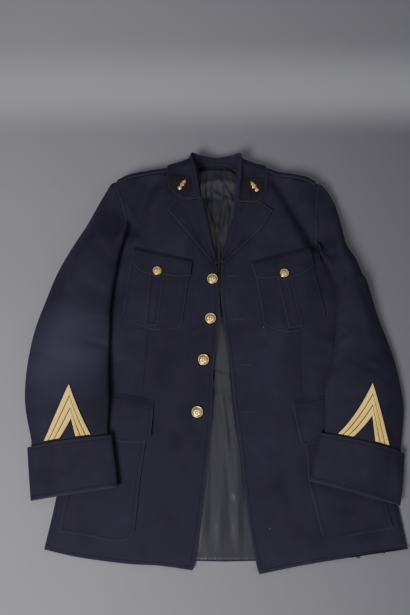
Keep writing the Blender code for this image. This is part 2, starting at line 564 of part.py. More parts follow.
def build():
    """All the pieces of the jacket."""
    for old in list(bpy.data.objects):
        bpy.data.objects.remove(old, do_unlink=True)
    home = bpy.data.collections.new(JACKET)
    bpy.context.scene.collection.children.link(home)
    wool = material("navy_wool", (38, 37, 52), 0.85)
    satin = material("grey_satin", (62, 61, 70), 0.45)
    velvet = material("black_velvet", (26, 25, 32), 0.95)
    braid = material("gold_braid", (226, 186, 92), 0.5, 0.4)
    gilt = material("gilt_brass", (222, 178, 96), 0.3, 1.0)

    left = (LEFT_EDGE, LEFT_ROLL, LEFT_HEM, LEFT_ARMHOLE, LEFT_SHOULDER, LEFT_UNDERARM,
            [(y, x) for y, x in LEFT_SIDE])
    right = (RIGHT_EDGE, RIGHT_ROLL, RIGHT_HEM, RIGHT_ARMHOLE, RIGHT_SHOULDER, RIGHT_UNDERARM[::-1],
             [(y, x) for y, x in RIGHT_SIDE])
    back(wool)
    back_lining(satin)
    front("front_left", left, 30, 13, wool)
    front("front_right", right, 30, 13, wool)
    lapel("lapel_left", LEFT_ROLL, LEFT_LAPEL, LEFT_GORGE, wool)
    lapel("lapel_right", RIGHT_ROLL, RIGHT_LAPEL, RIGHT_GORGE, wool)
    collar(wool)
    strap("shoulder_strap_left", LEFT_SHOULDER, -1, wool)
    strap("shoulder_strap_right", RIGHT_SHOULDER, 1, wool)

    patch("collar_patch_left", [(-7.8, 31.3), (-7.9, 34.2)], [(-4.2, 31.2), (-4.3, 34.4)],
          [(-7.8, 31.3), (-5.6, 29.4), (-4.2, 31.2)], [(-7.9, 34.2), (-4.3, 34.4)], (5, 7),
          REST + 0.02, VELVET_WALL, velvet, leaf_height)
    patch("collar_patch_right", [(6.6, 31.0), (6.7, 34.0)], [(10.2, 31.0), (10.3, 33.8)],
          [(6.6, 31.0), (8.4, 28.9), (10.2, 31.0)], [(6.7, 34.0), (10.3, 33.8)], (5, 7),
          REST + 0.02, VELVET_WALL, velvet, leaf_height)
    for name, x, y, turn in (("left", -6.0, 32.2, -0.55), ("right", 8.4, 31.8, 0.55)):
        sprig("collar_sprig_" + name, x, y, float(leaf_height(np.array(x), np.array(y))) + 0.36, turn, gilt)

    # Breast pockets: bag, box pleat and flap. Rows run from the bottom edge up.
    bag = REST + 0.03
    patch("breast_pocket_left", [(-15.6, 3.8), (-16.7, 4.9), (-16.8, 6.0), (-15.9, 14.6), (-15.5, 17.0)],
          [(-6.8, 2.3), (-5.8, 3.2), (-5.5, 5.0), (-4.6, 11.5), (-4.3, 15.0)],
          [(-15.6, 3.8), (-11.4, 2.2), (-6.8, 2.3)], [(-15.5, 17.0), (-4.3, 15.0)], (9, 9), bag,
          PATCH_WALL, wool)
    patch("breast_pocket_right", [(10.4, 2.6), (9.4, 3.6), (9.3, 5.0), (8.4, 11.5), (7.9, 15.0)],
          [(18.6, 2.9), (20.6, 4.2), (21.1, 5.6), (19.9, 12.5), (19.2, 16.0)],
          [(10.4, 2.6), (14.1, 1.6), (18.6, 2.9)], [(7.9, 15.0), (19.2, 16.0)], (9, 9), bag,
          PATCH_WALL, wool)
    pleat = bag + PATCH_WALL + 0.05
    patch("breast_pleat_left", [(-12.7, 2.9), (-11.9, 13.9)], [(-10.2, 2.7), (-9.1, 14.0)],
          [(-12.7, 2.9), (-10.2, 2.7)], [(-11.9, 13.9), (-9.1, 14.0)], (8, 4), pleat, PLEAT_WALL, wool)
    patch("breast_pleat_right", [(14.1, 2.3), (12.1, 13.2)], [(16.8, 2.8), (14.9, 13.6)],
          [(14.1, 2.3), (16.8, 2.8)], [(12.1, 13.2), (14.9, 13.6)], (8, 4), pleat, PLEAT_WALL, wool)
    flap_lift = pleat + PLEAT_WALL + 0.06
    flap = [flap_lift] * 5 + [REST + 0.02]
    patch("breast_flap_left", [(-15.65, 15.6), (-15.1, 18.8)], [(-4.2, 12.7), (-3.9, 16.2)],
          [(-15.65, 15.6), (-13.6, 13.5), (-12.0, 12.9), (-10.5, 12.3), (-9.0, 12.7), (-6.5, 12.4),
           (-4.2, 12.7)],
          [(-15.1, 18.8), (-3.9, 16.2)], (6, 11), flap, FLAP_WALL, wool)
    patch("breast_flap_right", [(8.1, 12.3), (7.3, 15.8)], [(19.5, 14.9), (18.8, 19.0)],
          [(8.1, 12.3), (10.3, 12.0), (12.2, 12.2), (13.6, 11.7), (15.2, 12.3), (17.2, 13.0), (19.5, 14.9)],
          [(7.3, 15.8), (18.8, 19.0)], (6, 11), flap, FLAP_WALL, wool)

    # Hip pockets: bag and flap.
    patch("hip_pocket_left", [(-26.0, -33.0), (-25.3, -28.0), (-24.0, -20.0), (-23.4, -12.6)],
          [(-14.8, -34.3), (-13.4, -33.0), (-13.0, -30.3), (-12.6, -25.0), (-11.9, -18.8), (-11.3, -13.4)],
          [(-26.0, -33.0), (-21.1, -33.6), (-17.7, -34.3), (-14.8, -34.3)], [(-23.4, -12.6), (-11.3, -13.4)],
          (9, 8), bag, PATCH_WALL, wool)
    patch("hip_pocket_right",
          [(19.0, -33.8), (18.1, -33.1), (17.0, -27.9), (16.4, -25.0), (16.2, -19.6), (15.1, -13.6)],
          [(30.2, -32.4), (29.0, -27.0), (27.6, -20.0), (26.6, -12.4)],
          [(19.0, -33.8), (20.9, -33.9), (25.2, -33.2), (30.2, -32.4)], [(15.1, -13.6), (26.6, -12.4)],
          (9, 8), bag, PATCH_WALL, wool)
    flap = [pleat] * 4 + [REST + 0.02]
    patch("hip_flap_left", [(-23.9, -17.3), (-23.7, -9.3)],
          [(-11.8, -18.3), (-10.9, -17.2), (-10.8, -15.9), (-10.5, -11.0)],
          [(-23.9, -17.3), (-15.5, -18.3), (-11.8, -18.3)], [(-23.7, -9.3), (-16.5, -9.8), (-10.5, -11.0)],
          (5, 8), flap, FLAP_WALL, wool)
    patch("hip_flap_right", [(15.9, -18.9), (15.2, -18.0), (14.1, -11.1)], [(27.0, -17.2), (26.8, -9.1)],
          [(15.9, -18.9), (17.5, -18.5), (27.0, -17.2)], [(14.1, -11.1), (19.0, -10.2), (26.8, -9.1)],
          (5, 8), flap, FLAP_WALL, wool)

    sleeve("sleeve_left", LEFT_SLEEVE, LEFT_CREASES, wool)
    sleeve("sleeve_right", RIGHT_SLEEVE, RIGHT_CREASES, wool)
    cuff("cuff_left", LEFT_SLEEVE, LEFT_CREASES, wool)
    cuff("cuff_right", RIGHT_SLEEVE, RIGHT_CREASES, wool)
    for side, rings, creases, apex, foot in (
            ("left", LEFT_SLEEVE, LEFT_CREASES, (0.565, 8.02, 9.35), (0.218, 0.417, 0.768, 0.59)),
            ("right", RIGHT_SLEEVE, RIGHT_CREASES, (0.445, 7.95, 9.15), (0.815, 0.637, 0.208, 0.394))):
        for stripe in range(3):
            outer, inner = (stripe + 0.04) / 3, (stripe + 0.93) / 3
            edges = []
            for t in (inner, outer):
                edges.append((apex[1] + (apex[2] - apex[1]) * t, apex[0], foot[0] + (foot[1] - foot[0]) * t,
                              foot[2] + (foot[3] - foot[2]) * t, 10.14))
            chevron("chevron_%s_%d" % (side, stripe + 1), rings, creases, edges[0], edges[1], braid)

    for number, (x, y) in enumerate([(0.0, 12.3), (-0.4, 4.4), (-1.7, -3.5), (-2.8, -13.0)], 1):
        z = float(front_height(np.array(x), np.array(y))) + REST + 0.06
        button("front_button_%d" % number, FRONT_BUTTON, x, y, z, gilt)
    for side, x, y in (("left", -10.5, 13.4), ("right", 13.6, 12.95)):
        z = float(front_height(np.array(x), np.array(y))) + flap_lift + FLAP_WALL + REST
        button("flap_button_" + side, FLAP_BUTTON, x, y, z, gilt)


if __name__ == "__main__":
    build()
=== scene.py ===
"""Navy dress uniform jacket laid open on its back on a grey floor.

Lengths in the sections are centimetres. +X runs to the viewer's right, +Y from
hem to collar, +Z up from the floor.
"""
import bpy
import numpy as np
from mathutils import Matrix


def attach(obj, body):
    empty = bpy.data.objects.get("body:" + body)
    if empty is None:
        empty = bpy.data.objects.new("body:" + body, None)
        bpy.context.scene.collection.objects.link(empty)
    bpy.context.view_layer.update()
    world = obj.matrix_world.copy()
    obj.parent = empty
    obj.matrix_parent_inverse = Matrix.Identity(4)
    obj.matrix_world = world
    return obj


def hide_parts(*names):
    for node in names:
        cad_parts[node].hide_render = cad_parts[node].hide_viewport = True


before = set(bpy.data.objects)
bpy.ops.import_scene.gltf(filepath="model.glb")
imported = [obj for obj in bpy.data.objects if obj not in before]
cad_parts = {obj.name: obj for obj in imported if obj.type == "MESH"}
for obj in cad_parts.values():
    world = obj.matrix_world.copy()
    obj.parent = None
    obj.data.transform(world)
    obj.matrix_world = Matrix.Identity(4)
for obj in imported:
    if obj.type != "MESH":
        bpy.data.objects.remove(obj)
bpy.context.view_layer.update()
CM = 0.01


# BACK PANEL
# The whole back of the jacket in navy twill wool, lying flat on the floor and turned up
# a little at its side seams and shoulders, where the fronts and sleeves are sewn to it.
BACK_WALL, FRONT_WALL = 0.18, 0.24
REST = 0.06
MIDDLE = 1.0
SIDE_SEAM = 0.52
EDGE_ROUND, SHOULDER_ROUND = 1.5, 1.4
BODY_HEIGHT = [(-40, 0.95), (-30, 1.15), (-18, 1.5), (-6, 2.0), (5, 2.5), (15, 2.95),
               (24, 3.45), (31, 3.75), (40, 3.8)]
ACROSS = [(0.0, 0.76), (0.2, 0.92), (0.4, 1.0), (0.6, 0.93), (0.8, 0.72), (1.0, 0.66)]
LEFT_SIDE = [(-36, -28.3), (-28, -27.0), (-15, -25.6), (0, -25.0), (15, -25.2), (24, -25.2)]
RIGHT_SIDE = [(-36, 32.4), (-28, 31.4), (-15, 29.2), (0, 28.0), (11, 27.8), (24, 27.8)]
LEFT_UNDERARM = [(-25.6, 14.3), (-23.4, 17.8), (-20, 20.7), (-16.8, 22.4)]
RIGHT_UNDERARM = [(21.0, 17.1), (23, 16.2), (25.5, 14.2), (28.2, 10.6)]
LEFT_EDGE = [(-3.5, -38.9), (-3.1, -37.6), (-1.7, -27.9), (-0.8, -19.6), (-0.3, -14.5),
             (0.1, -5.0), (0.5, -2.1), (1.15, 4.7), (1.0, 11.6), (0.9, 15.0)]
RIGHT_EDGE = [(7.5, -39.5), (7.1, -38.1), (6.3, -33.5), (5.3, -25.6), (4.8, -19.5),
              (4.0, -13.2), (3.4, -6.4), (3.0, -2.1), (2.1, 4.3), (1.6, 9.0), (1.7, 15.2)]
LEFT_ROLL = [(0.7, 15.6), (-0.3, 20.4), (-1.0, 24.0), (-2.1, 28.1), (-2.95, 32.3), (-3.9, 36.7)]
RIGHT_ROLL = [(1.9, 15.8), (3.0, 20.4), (3.9, 23.5), (5.0, 26.9), (5.3, 30.6), (5.7, 36.5)]
LEFT_ARMHOLE = [(-16.8, 22.4), (-17.4, 25.6), (-18.6, 29.8), (-20.1, 33.7)]
RIGHT_ARMHOLE = [(21.0, 17.1), (20.6, 22.0), (20.9, 28.2), (21.8, 33.3)]
LEFT_SHOULDER = [(-3.9, 36.7), (-9.3, 36.1), (-14.0, 35.3), (-17.0, 34.6), (-20.1, 33.7)]
RIGHT_SHOULDER = [(5.7, 36.5), (11.4, 36.1), (15.6, 34.9), (18.5, 34.3), (21.8, 33.3)]
# Soft hollows pressed into the body: from x, y to x, y, depth, half width.
BODY_FOLDS = [(-12.4, 32.5, -15.9, 22.5, 1.35, 1.6), (13.2, 33.5, 20.0, 20.0, 1.35, 1.6),
              (-12.2, 1.0, -13.0, -9.0, 0.2, 1.6), (16.2, 1.0, 16.4, -9.5, 0.2, 1.6),
              (-6.0, 2.0, -8.0, -16.0, 0.15, 1.8), (10.5, 0.0, 9.0, -18.0, 0.2, 1.8)]


def table(rows, column, at):
    """Straight-line reading of one column of a table against its first column."""
    data = np.array(sorted(rows))
    return np.interp(at, data[:, 0], data[:, column])


def smooth(rows, at):
    """Catmull-Rom curve through the rows, read at the shares 0 to 1 of its length in plan."""
    at = np.linspace(0, 1, at) if np.isscalar(at) else np.asarray(at)
    data = np.array(rows, float)
    if len(data) == 2:
        return data[0] + (data[1] - data[0]) * at[:, None]
    fine = stations(rows, np.linspace(0, len(data) - 1, 16 * (len(data) - 1) + 1))
    run = np.r_[0, np.cumsum(np.linalg.norm(np.diff(fine[:, :2], axis=0), axis=1))]
    return np.stack([np.interp(at * run[-1], run, fine[:, k]) for k in range(data.shape[1])], 1)


def stations(rows, at):
    """Catmull-Rom reading of a table's rows at fractional row numbers."""
    data = np.array(rows, float)
    ends = np.concatenate([2 * data[:1] - data[1:2], data, 2 * data[-1:] - data[-2:-1]])
    at = np.clip(np.asarray(at, float), 0, len(data) - 1)
    k = np.minimum(at.astype(int), len(data) - 2)
    t = (at - k).reshape(at.shape + (1,) * (data.ndim - 1))
    a, b, c, d = ends[k], ends[k + 1], ends[k + 2], ends[k + 3]
    return 0.5 * (2 * b + (c - a) * t + (2 * a - 5 * b + 4 * c - d) * t ** 2
                  + (3 * b - a - 3 * c + d) * t ** 3)


def step(low, high, value):
    """Smooth rise from 0 at low to 1 at high: t squared times three less two t."""
    t = np.clip((value - low) / (high - low), 0, 1)
    return t * t * (3 - 2 * t)


def coons(bottom, top, start, end, across=None, up=None):
    """Coons patch between four edge curves: the two lofts added, less the corners' bilinear."""
    across = np.linspace(0, 1, len(bottom)) if across is None else across
    up = np.linspace(0, 1, len(start)) if up is None else up
    u, v = across[None, :, None], up[:, None, None]
    lofts = (1 - v) * bottom[None] + v * top[None] + (1 - u) * start[:, None] + u * end[:, None]
    corners = (1 - v) * ((1 - u) * bottom[0] + u * bottom[-1]) + v * ((1 - u) * top[0] + u * top[-1])
    return lofts - corners


def side_distance(x, y, signed=False):
    """How far a plan point lies inside the side seams, or from the underarm's line.

    The signed distance is below 0 above the underarm as well as outside the side seams.
    """
    left, right = table(LEFT_UNDERARM, 1, x) - y, table(RIGHT_UNDERARM, 1, x) - y
    if not signed:
        left, right = np.abs(left), np.abs(right)
    left = np.minimum(x - table(LEFT_SIDE, 1, y), left + 30 * (x > LEFT_UNDERARM[-1][0]))
    right = np.minimum(table(RIGHT_SIDE, 1, y) - x, right + 30 * (x < RIGHT_UNDERARM[0][0]))
    return np.where(x < MIDDLE, left, right)


def shoulder_distance(x, y):
    """How far a plan point lies below the shoulder line."""
    return np.where(x < MIDDLE, table(LEFT_SHOULDER, 1, x), table(RIGHT_SHOULDER, 1, x)) - y


def round_angles(count):
    """Equal angles once round a circle, from 0."""
    return np.linspace(0, 2 * np.pi, count + 1)[:-1]


def rounded(distance, radius):
    """Quarter-circle rise from 0 at the edge to 1 at the radius."""
    return np.sqrt(1 - (1 - np.clip(distance / radius, 0, 1)) ** 2)


def hollow(x, y, fold):
    """Bell of the distance to a fold's line: depth times exp of minus (distance / width) squared."""
    x0, y0, x1, y1, depth, width = fold
    dx, dy = x1 - x0, y1 - y0
    t = np.clip(((x - x0) * dx + (y - y0) * dy) / (dx * dx + dy * dy), 0, 1)
    return depth * np.exp(-(np.hypot(x - x0 - t * dx, y - y0 - t * dy) / width) ** 2)


def front_height(x, y, turned=True):
    """Top of the fronts: a crown by height and share across, less the hollows, rounded at its edges."""
    edge = np.where(x < MIDDLE, table([(b, a) for a, b in LEFT_EDGE + LEFT_ROLL], 1, y),
                    table([(b, a) for a, b in RIGHT_EDGE + RIGHT_ROLL], 1, y))
    side = np.where(x < MIDDLE, -25.5, 28.5)
    share = np.clip((x - edge) / (side - edge), 0, 1)
    crown = table(BODY_HEIGHT, 1, y) * np.interp(share, *np.array(ACROSS).T)
    for fold in BODY_FOLDS:
        crown = crown - hollow(x, y, fold)
    seam = np.maximum(0.5 * crown, np.minimum(crown, SIDE_SEAM))
    if turned:
        crown = seam + (crown - seam) * rounded(side_distance(x, y), EDGE_ROUND)
    low = 0.62 * crown
    return low + (crown - low) * rounded(shoulder_distance(x, y), SHOULDER_ROUND)


def effect(name, inputs, outputs):
    """Node group with named sockets, and its input and output nodes. An input with no number is a vector."""
    group = bpy.data.node_groups.new(name, "ShaderNodeTree")
    for label, value in inputs.items():
        kind = "NodeSocketVector" if value is None else "NodeSocketFloat"
        socket = group.interface.new_socket(label, in_out="INPUT", socket_type=kind)
        if value is not None:
            socket.default_value = value
    for label in outputs:
        group.interface.new_socket(label, in_out="OUTPUT", socket_type="NodeSocketFloat")
    return group, group.nodes.new("NodeGroupInput"), group.nodes.new("NodeGroupOutput")


def node(tree, kind, feeds=(), **settings):
    """Adds a shader node, sets its properties and plugs or sets its inputs by name or number."""
    made = tree.nodes.new("ShaderNode" + kind)
    for key, value in settings.items():
        setattr(made, key, value)
    for key, value in dict(feeds).items():
        if isinstance(value, bpy.types.NodeSocket):
            tree.links.new(value, made.inputs[key])
        else:
            made.inputs[key].default_value = value
    return made


def sums(tree, operation, a, b=0.0, c=0.0, clamp=False):
    """Math node on up to three values, and its output."""
    return node(tree, "Math", {0: a, 1: b, 2: c}, operation=operation, use_clamp=clamp).outputs[0]


def times(tree, a, b):
    """Product of two values."""
    return sums(tree, "MULTIPLY", a, b)


def ranged(tree, value, low, high, first, last, smooth_step=False):
    """A value's range from low to high brought to the range first to last, straight or as a smooth step."""
    made = node(tree, "MapRange", {0: value, 1: low, 2: high, 3: first, 4: last})
    made.interpolation_type = "SMOOTHSTEP" if smooth_step else "LINEAR"
    return made.outputs[0]


def noise(tree, place, scale, detail, **settings):
    """Noise between 0 and 1 at a place, with its number of cells per metre."""
    return node(tree, "TexNoise", {"Vector": place, "Scale": scale, "Detail": detail, **settings}).outputs[0]


def srgb(red, green, blue, alpha=1.0):
    """Linear colour of an 8-bit display colour."""
    linear = [((c / 255 + 0.055) / 1.055) ** 2.4 if c > 10 else c / 3295 for c in (red, green, blue)]
    return (*linear, alpha)


def twill_effect():
    """Steep diagonal ribs of a twill on a map in metres: a rounded sine across the rib line."""
    group, into, out = effect("twill_weave", {"Map": None, "Pitch": 0.001}, ["Height", "Yarn"])
    split = node(group, "SeparateXYZ", {0: into.outputs["Map"]})
    turns = sums(group, "DIVIDE", 6.2832, into.outputs["Pitch"])
    slant = sums(group, "MULTIPLY_ADD", split.outputs[0], 0.88, times(group, split.outputs[1], -0.47))
    rib = sums(group, "SINE", times(group, slant, turns))
    pick = sums(group, "SINE", times(group, split.outputs[1], times(group, turns, 0.9)))
    rib = sums(group, "MULTIPLY_ADD", rib, 0.5, 0.5)
    height = sums(group, "MULTIPLY_ADD", pick, 0.12, rib)
    group.links.new(height, out.inputs["Height"])
    group.links.new(rib, out.inputs["Yarn"])
    return group


def nap_effect():
    """Brushed wool: fine fibre noise, broad uneven tone, and a few pale specks of lint."""
    group, into, out = effect("wool_nap", {"Place": None, "Lint": 1.0}, ["Fibre", "Tone", "Speck"])
    place = into.outputs["Place"]
    tone = noise(group, place, 14, 5, Roughness=0.62)
    dots = node(group, "TexVoronoi", {"Vector": place, "Scale": 95, "Randomness": 1.0})
    near = ranged(group, dots.outputs["Distance"], 0.035, 0.06, 1, 0)
    rare = node(group, "SeparateColor", {0: dots.outputs["Color"]}).outputs[0]
    few = sums(group, "GREATER_THAN", rare, 0.985)
    group.links.new(noise(group, place, 1400, 3), out.inputs["Fibre"])
    group.links.new(ranged(group, tone, 0.34, 0.66, 0, 1), out.inputs["Tone"])
    group.links.new(times(group, times(group, near, few), into.outputs["Lint"]), out.inputs["Speck"])
    return group


def pressed_effect():
    """Pressed edge from a distance in metres: a stitched channel 6 mm in, painted shade in that channel and
    along a seam, and a painted highlight on the outermost edge.
    """
    group, into, out = effect("pressed_edge", {"Distance": 1.0, "Seam": 1.0, "Inset": 0.006},
                              ["Height", "ChannelShade", "EdgeHighlight"])
    off = sums(group, "ABSOLUTE", sums(group, "SUBTRACT", into.outputs["Distance"], into.outputs["Inset"]))
    off = sums(group, "MINIMUM", off, sums(group, "ABSOLUTE", into.outputs["Seam"]))
    channel = ranged(group, off, 0.0, 0.0014, 1, 0, smooth_step=True)
    group.links.new(times(group, channel, -1.0), out.inputs["Height"])
    group.links.new(channel, out.inputs["ChannelShade"])
    group.links.new(ranged(group, into.outputs["Distance"], 0.0, 0.0013, 1, 0), out.inputs["EdgeHighlight"])
    return group


twill_weave, wool_nap, pressed_edge = twill_effect(), nap_effect(), pressed_effect()


def new_material(name, roughness, **constants):
    """Material with a Principled shader whose plain numbers sit on its own sockets."""
    made = bpy.data.materials.new(name)
    made.use_nodes = True
    shader = made.node_tree.nodes["Principled BSDF"]
    shader.inputs["Roughness"].default_value = roughness
    for key, value in constants.items():
        shader.inputs[key.replace("_", " ")].default_value = value
    return made, made.node_tree, shader


def mixed(tree, share, first, second):
    """Colour between two colours or sockets by a share."""
    made = node(tree, "Mix", {0: share}, data_type="RGBA")
    for slot, value in ((6, first), (7, second)):
        if isinstance(value, bpy.types.NodeSocket):
            tree.links.new(value, made.inputs[slot])
        else:
            made.inputs[slot].default_value = value
    return made.outputs[2]


def surface(tree, shader, base, height, strength=1.0):
    """Plugs in a colour and a bump of a height in metres."""
    tree.links.new(base, shader.inputs["Base Color"])
    bump = node(tree, "Bump", {"Height": height, "Strength": strength, "Distance": 1.0})
    tree.links.new(bump.outputs[0], shader.inputs["Normal"])


def wool_material():
    """Navy twill: ribs and fibres, uneven tone, painted shade in the stitched channels, a painted highlight
    along the edges, lint.

    A painted highlight lightens the nap colour round one place on the left sleeve.
    """
    made, tree, shader = new_material("navy_wool_cloth", 0.82, Sheen_Weight=0.1, Sheen_Roughness=0.4,
                                      Sheen_Tint=srgb(128, 110, 165), Specular_IOR_Level=0.14)
    chart = node(tree, "UVMap", uv_map="cloth").outputs[0]
    place = node(tree, "TexCoord").outputs["Object"]
    edge = node(tree, "Attribute", attribute_name="edge").outputs["Fac"]
    seam = node(tree, "Attribute", attribute_name="seam").outputs["Fac"]
    weave = node(tree, "Group", {}, node_tree=twill_weave)
    nap = node(tree, "Group", {}, node_tree=wool_nap)
    press = node(tree, "Group", {}, node_tree=pressed_edge)
    weave.inputs["Pitch"].default_value = 0.0011
    for source, socket in ((chart, weave.inputs["Map"]), (place, nap.inputs["Place"]),
                           (edge, press.inputs["Distance"]), (seam, press.inputs["Seam"])):
        tree.links.new(source, socket)
    base = mixed(tree, nap.outputs["Tone"], srgb(21, 19, 31), srgb(36, 33, 48))
    # Painted highlight: a lighter patch in the wool's colour round one place on the left sleeve.
    painted_highlight_place = (-0.272, -0.02, 0.04)
    reach = node(tree, "VectorMath", {0: place, 1: painted_highlight_place}, operation="DISTANCE")
    painted_highlight_share = ranged(tree, reach.outputs["Value"], 0.01, 0.12, 1, 0, smooth_step=True)
    base = mixed(tree, times(tree, painted_highlight_share, 0.6), base, srgb(58, 54, 74))
    base = mixed(tree, times(tree, weave.outputs["Yarn"], 0.3), base, srgb(44, 42, 56))
    # Painted shade darkens the stitched channels and the dart seams.
    base = mixed(tree, times(tree, press.outputs["ChannelShade"], 0.5), base, srgb(12, 11, 18))
    # Painted highlight lightens the outermost millimetre of every edge.
    base = mixed(tree, times(tree, press.outputs["EdgeHighlight"], 0.5), base, srgb(60, 57, 74))
    base = mixed(tree, nap.outputs["Speck"], base, srgb(150, 148, 150))
    fibres = times(tree, nap.outputs["Fibre"], 0.00012)
    height = sums(tree, "MULTIPLY_ADD", weave.outputs["Height"], 0.00010, fibres)
    surface(tree, shader, base, sums(tree, "MULTIPLY_ADD", press.outputs["Height"], 0.0003, height), 0.8)
    tree.links.new(ranged(tree, nap.outputs["Tone"], 0.3, 0.7, 0.74, 0.9), shader.inputs["Roughness"])
    return made


navy_wool = wool_material()


def quads(index):
    """Four-cornered faces between the rows and columns of a grid of vertex numbers."""
    corners = [index[..., :-1, :-1], index[..., 1:, :-1], index[..., 1:, 1:], index[..., :-1, 1:]]
    return np.stack(corners, -1).reshape(-1, 4)


def run_lengths(points, axis):
    """Length run along a grid's rows or columns, from 0: sums of the steps between its points."""
    steps = np.linalg.norm(np.diff(points, axis=axis), axis=2)
    return np.pad(np.cumsum(steps, axis), [(1, 0) if axis == k else (0, 0) for k in (0, 1)])


def placed(mesh, finish):
    """Object of a smooth mesh with its material, at the origin, on the frame's one body."""
    mesh.shade_smooth()
    mesh.materials.append(finish)
    piece = bpy.data.objects.new(mesh.name, mesh)
    bpy.context.scene.collection.objects.link(piece)
    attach(piece, "root")
    return piece


def cloth(name, stands_for, points, thickness, finish, facing="up", wrap=False):
    """Cloth piece from a grid of its outer face in centimetres, with Solidify inward and eased rims.

    The map runs along the grid's rows and columns in metres. The edge attribute is the
    distance to the nearest free side of the grid, in metres.
    """
    rows, columns = points.shape[:2]
    index = np.arange(rows * columns).reshape(rows, columns)
    full = np.concatenate([points, points[:, :1]], 1) if wrap else points
    if wrap:
        index = np.hstack([index, index[:, :1]])
    across, along = run_lengths(full, 1), run_lengths(full, 0)
    across = across - across[:, -1:] / 2
    sides = [along, along[-1:] - along]
    if not wrap:
        sides += [across - across[:, :1], across[:, -1:] - across]
    near = np.minimum.reduce(sides)
    quad = quads(index)
    chart = np.stack([across, along], -1) * CM
    loops = np.stack([chart[:-1, :-1], chart[1:, :-1], chart[1:, 1:], chart[:-1, 1:]], 2).reshape(-1, 4, 2)
    corners = points.reshape(-1, 3)[quad]
    normals = np.cross(corners[:, 2] - corners[:, 0], corners[:, 3] - corners[:, 1])
    if facing == "out":
        centres = np.repeat(points.mean(axis=1), quad.shape[0] // (rows - 1) * np.ones(rows, int), axis=0)
        sign = (normals * (corners.mean(axis=1) - centres[:len(quad)])).sum()
    else:
        sign = normals[:, 2].sum() * (1 if facing == "up" else -1)
    if sign < 0:
        quad, loops = quad[:, ::-1], loops[:, ::-1]
    mesh = bpy.data.meshes.new(name)
    mesh.from_pydata((points.reshape(-1, 3) * CM).tolist(), [], quad.tolist())
    loops = np.ascontiguousarray(loops, dtype=np.float32)
    mesh.uv_layers.new(name="cloth").data.foreach_set("uv", loops.ravel())
    for label, values in (("edge", near[:, :columns] * CM), ("seam", np.ones((rows, columns)))):
        mark = mesh.attributes.new(label, "FLOAT", "POINT")
        mark.data.foreach_set("value", values.astype(np.float32).ravel())
    piece = placed(mesh, finish)
    wall = piece.modifiers.new("wall", "SOLIDIFY")
    wall.thickness, wall.offset = thickness * CM, -1.0
    rim = piece.modifiers.new("rim", "BEVEL")
    rim.limit_method, rim.angle_limit = "ANGLE", 0.95
    rim.width, rim.segments = 0.22 * thickness * CM, 2
    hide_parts(stands_for)
    return piece


def back_plan(rows, half):
    """Plan of the back: two Coons patches that meet at the spine."""
    left = smooth([(x, y) for y, x in LEFT_SIDE[:5] if y < 14] + LEFT_UNDERARM + LEFT_ARMHOLE[1:], rows)
    right = smooth([(x, y) for y, x in RIGHT_SIDE[:5] if y < 10] + RIGHT_UNDERARM[::-1]
                   + RIGHT_ARMHOLE[1:], rows)
    left[0], right[0] = (-28.2, -35.6), (32.3, -35.3)
    spine = smooth([(1.9, -37.6), (1.9, 37.9)], rows)
    hem_left = smooth([(1.9, -37.6), (-10, -37.3), (-20, -36.6), tuple(left[0])], half)
    hem_right = smooth([(1.9, -37.6), (14, -37.3), (24, -36.5), tuple(right[0])], half)
    neck_left = smooth([(1.9, 37.9), (-3.9, 36.7)] + LEFT_SHOULDER[1:], half)
    neck_right = smooth([(1.9, 37.9), (5.7, 36.5)] + RIGHT_SHOULDER[1:], half)
    left_patch = coons(hem_left, neck_left, spine, left)
    return np.concatenate([left_patch[:, :0:-1], coons(hem_right, neck_right, spine, right)], axis=1)


def back_points(rows, half):
    """Underside of the back: flat at 0, lifted at sides and shoulders by the room under the front."""
    plan = back_plan(rows, half)
    x, y = plan[..., 0], plan[..., 1]
    room = np.maximum(front_height(x, y) - FRONT_WALL - BACK_WALL - REST - 0.1, 0)
    side = 1 - rounded(side_distance(x, y), EDGE_ROUND)
    top = 0.9 * (1 - rounded(shoulder_distance(x, y), SHOULDER_ROUND)) * step(4.2, 6.5, np.abs(x - 0.9))
    neck = 0.36 * step(32.5, 35.5, y) * (1 - step(7.5, 10.0, np.abs(x - 0.9)))
    return np.dstack([plan, np.maximum(np.maximum(side, top) * room, neck)])


cloth("back_panel", "back", back_points(110, 40), BACK_WALL, navy_wool,
      facing="down")


# BACK LINING
# Dark grey satin that lines the back and shows where the fronts stand open. It is cut a
# little wide, so it lies in long soft folds, and it puckers under the neck seam.
LINING_WALL, LINING_REST = 0.1, 0.33


def satin_material():
    """Satin: dark grey with a soft shine, fine warp lines and small puckers in the bump, with painted shade
    in the puckers' hollows and painted light on their ridges.
    """
    made, tree, shader = new_material("grey_satin_cloth", 0.36, Sheen_Weight=0.08, Sheen_Roughness=0.3,
                                      Sheen_Tint=srgb(150, 150, 165), Specular_IOR_Level=0.4)
    chart = node(tree, "UVMap", uv_map="cloth").outputs[0]
    long_way = node(tree, "Mapping", {"Vector": chart, "Scale": (38.0, 7.0, 1.0)}).outputs[0]
    pucker = noise(tree, long_way, 1.0, 4, Roughness=0.55)
    lines = node(tree, "Mapping", {"Vector": chart, "Scale": (2600.0, 90.0, 1.0)}).outputs[0]
    warp = noise(tree, lines, 1.0, 1)
    height = sums(tree, "MULTIPLY_ADD", pucker, 0.0017, times(tree, warp, 0.00004))
    # Painted shade and light: the pucker noise that shapes the bump also darkens its hollows and lightens its
    # ridges.
    surface(tree, shader, mixed(tree, pucker, srgb(16, 15, 22), srgb(42, 40, 53)), height, 0.75)
    tree.links.new(ranged(tree, warp, 0.3, 0.7, 0.3, 0.44), shader.inputs["Roughness"])
    return made


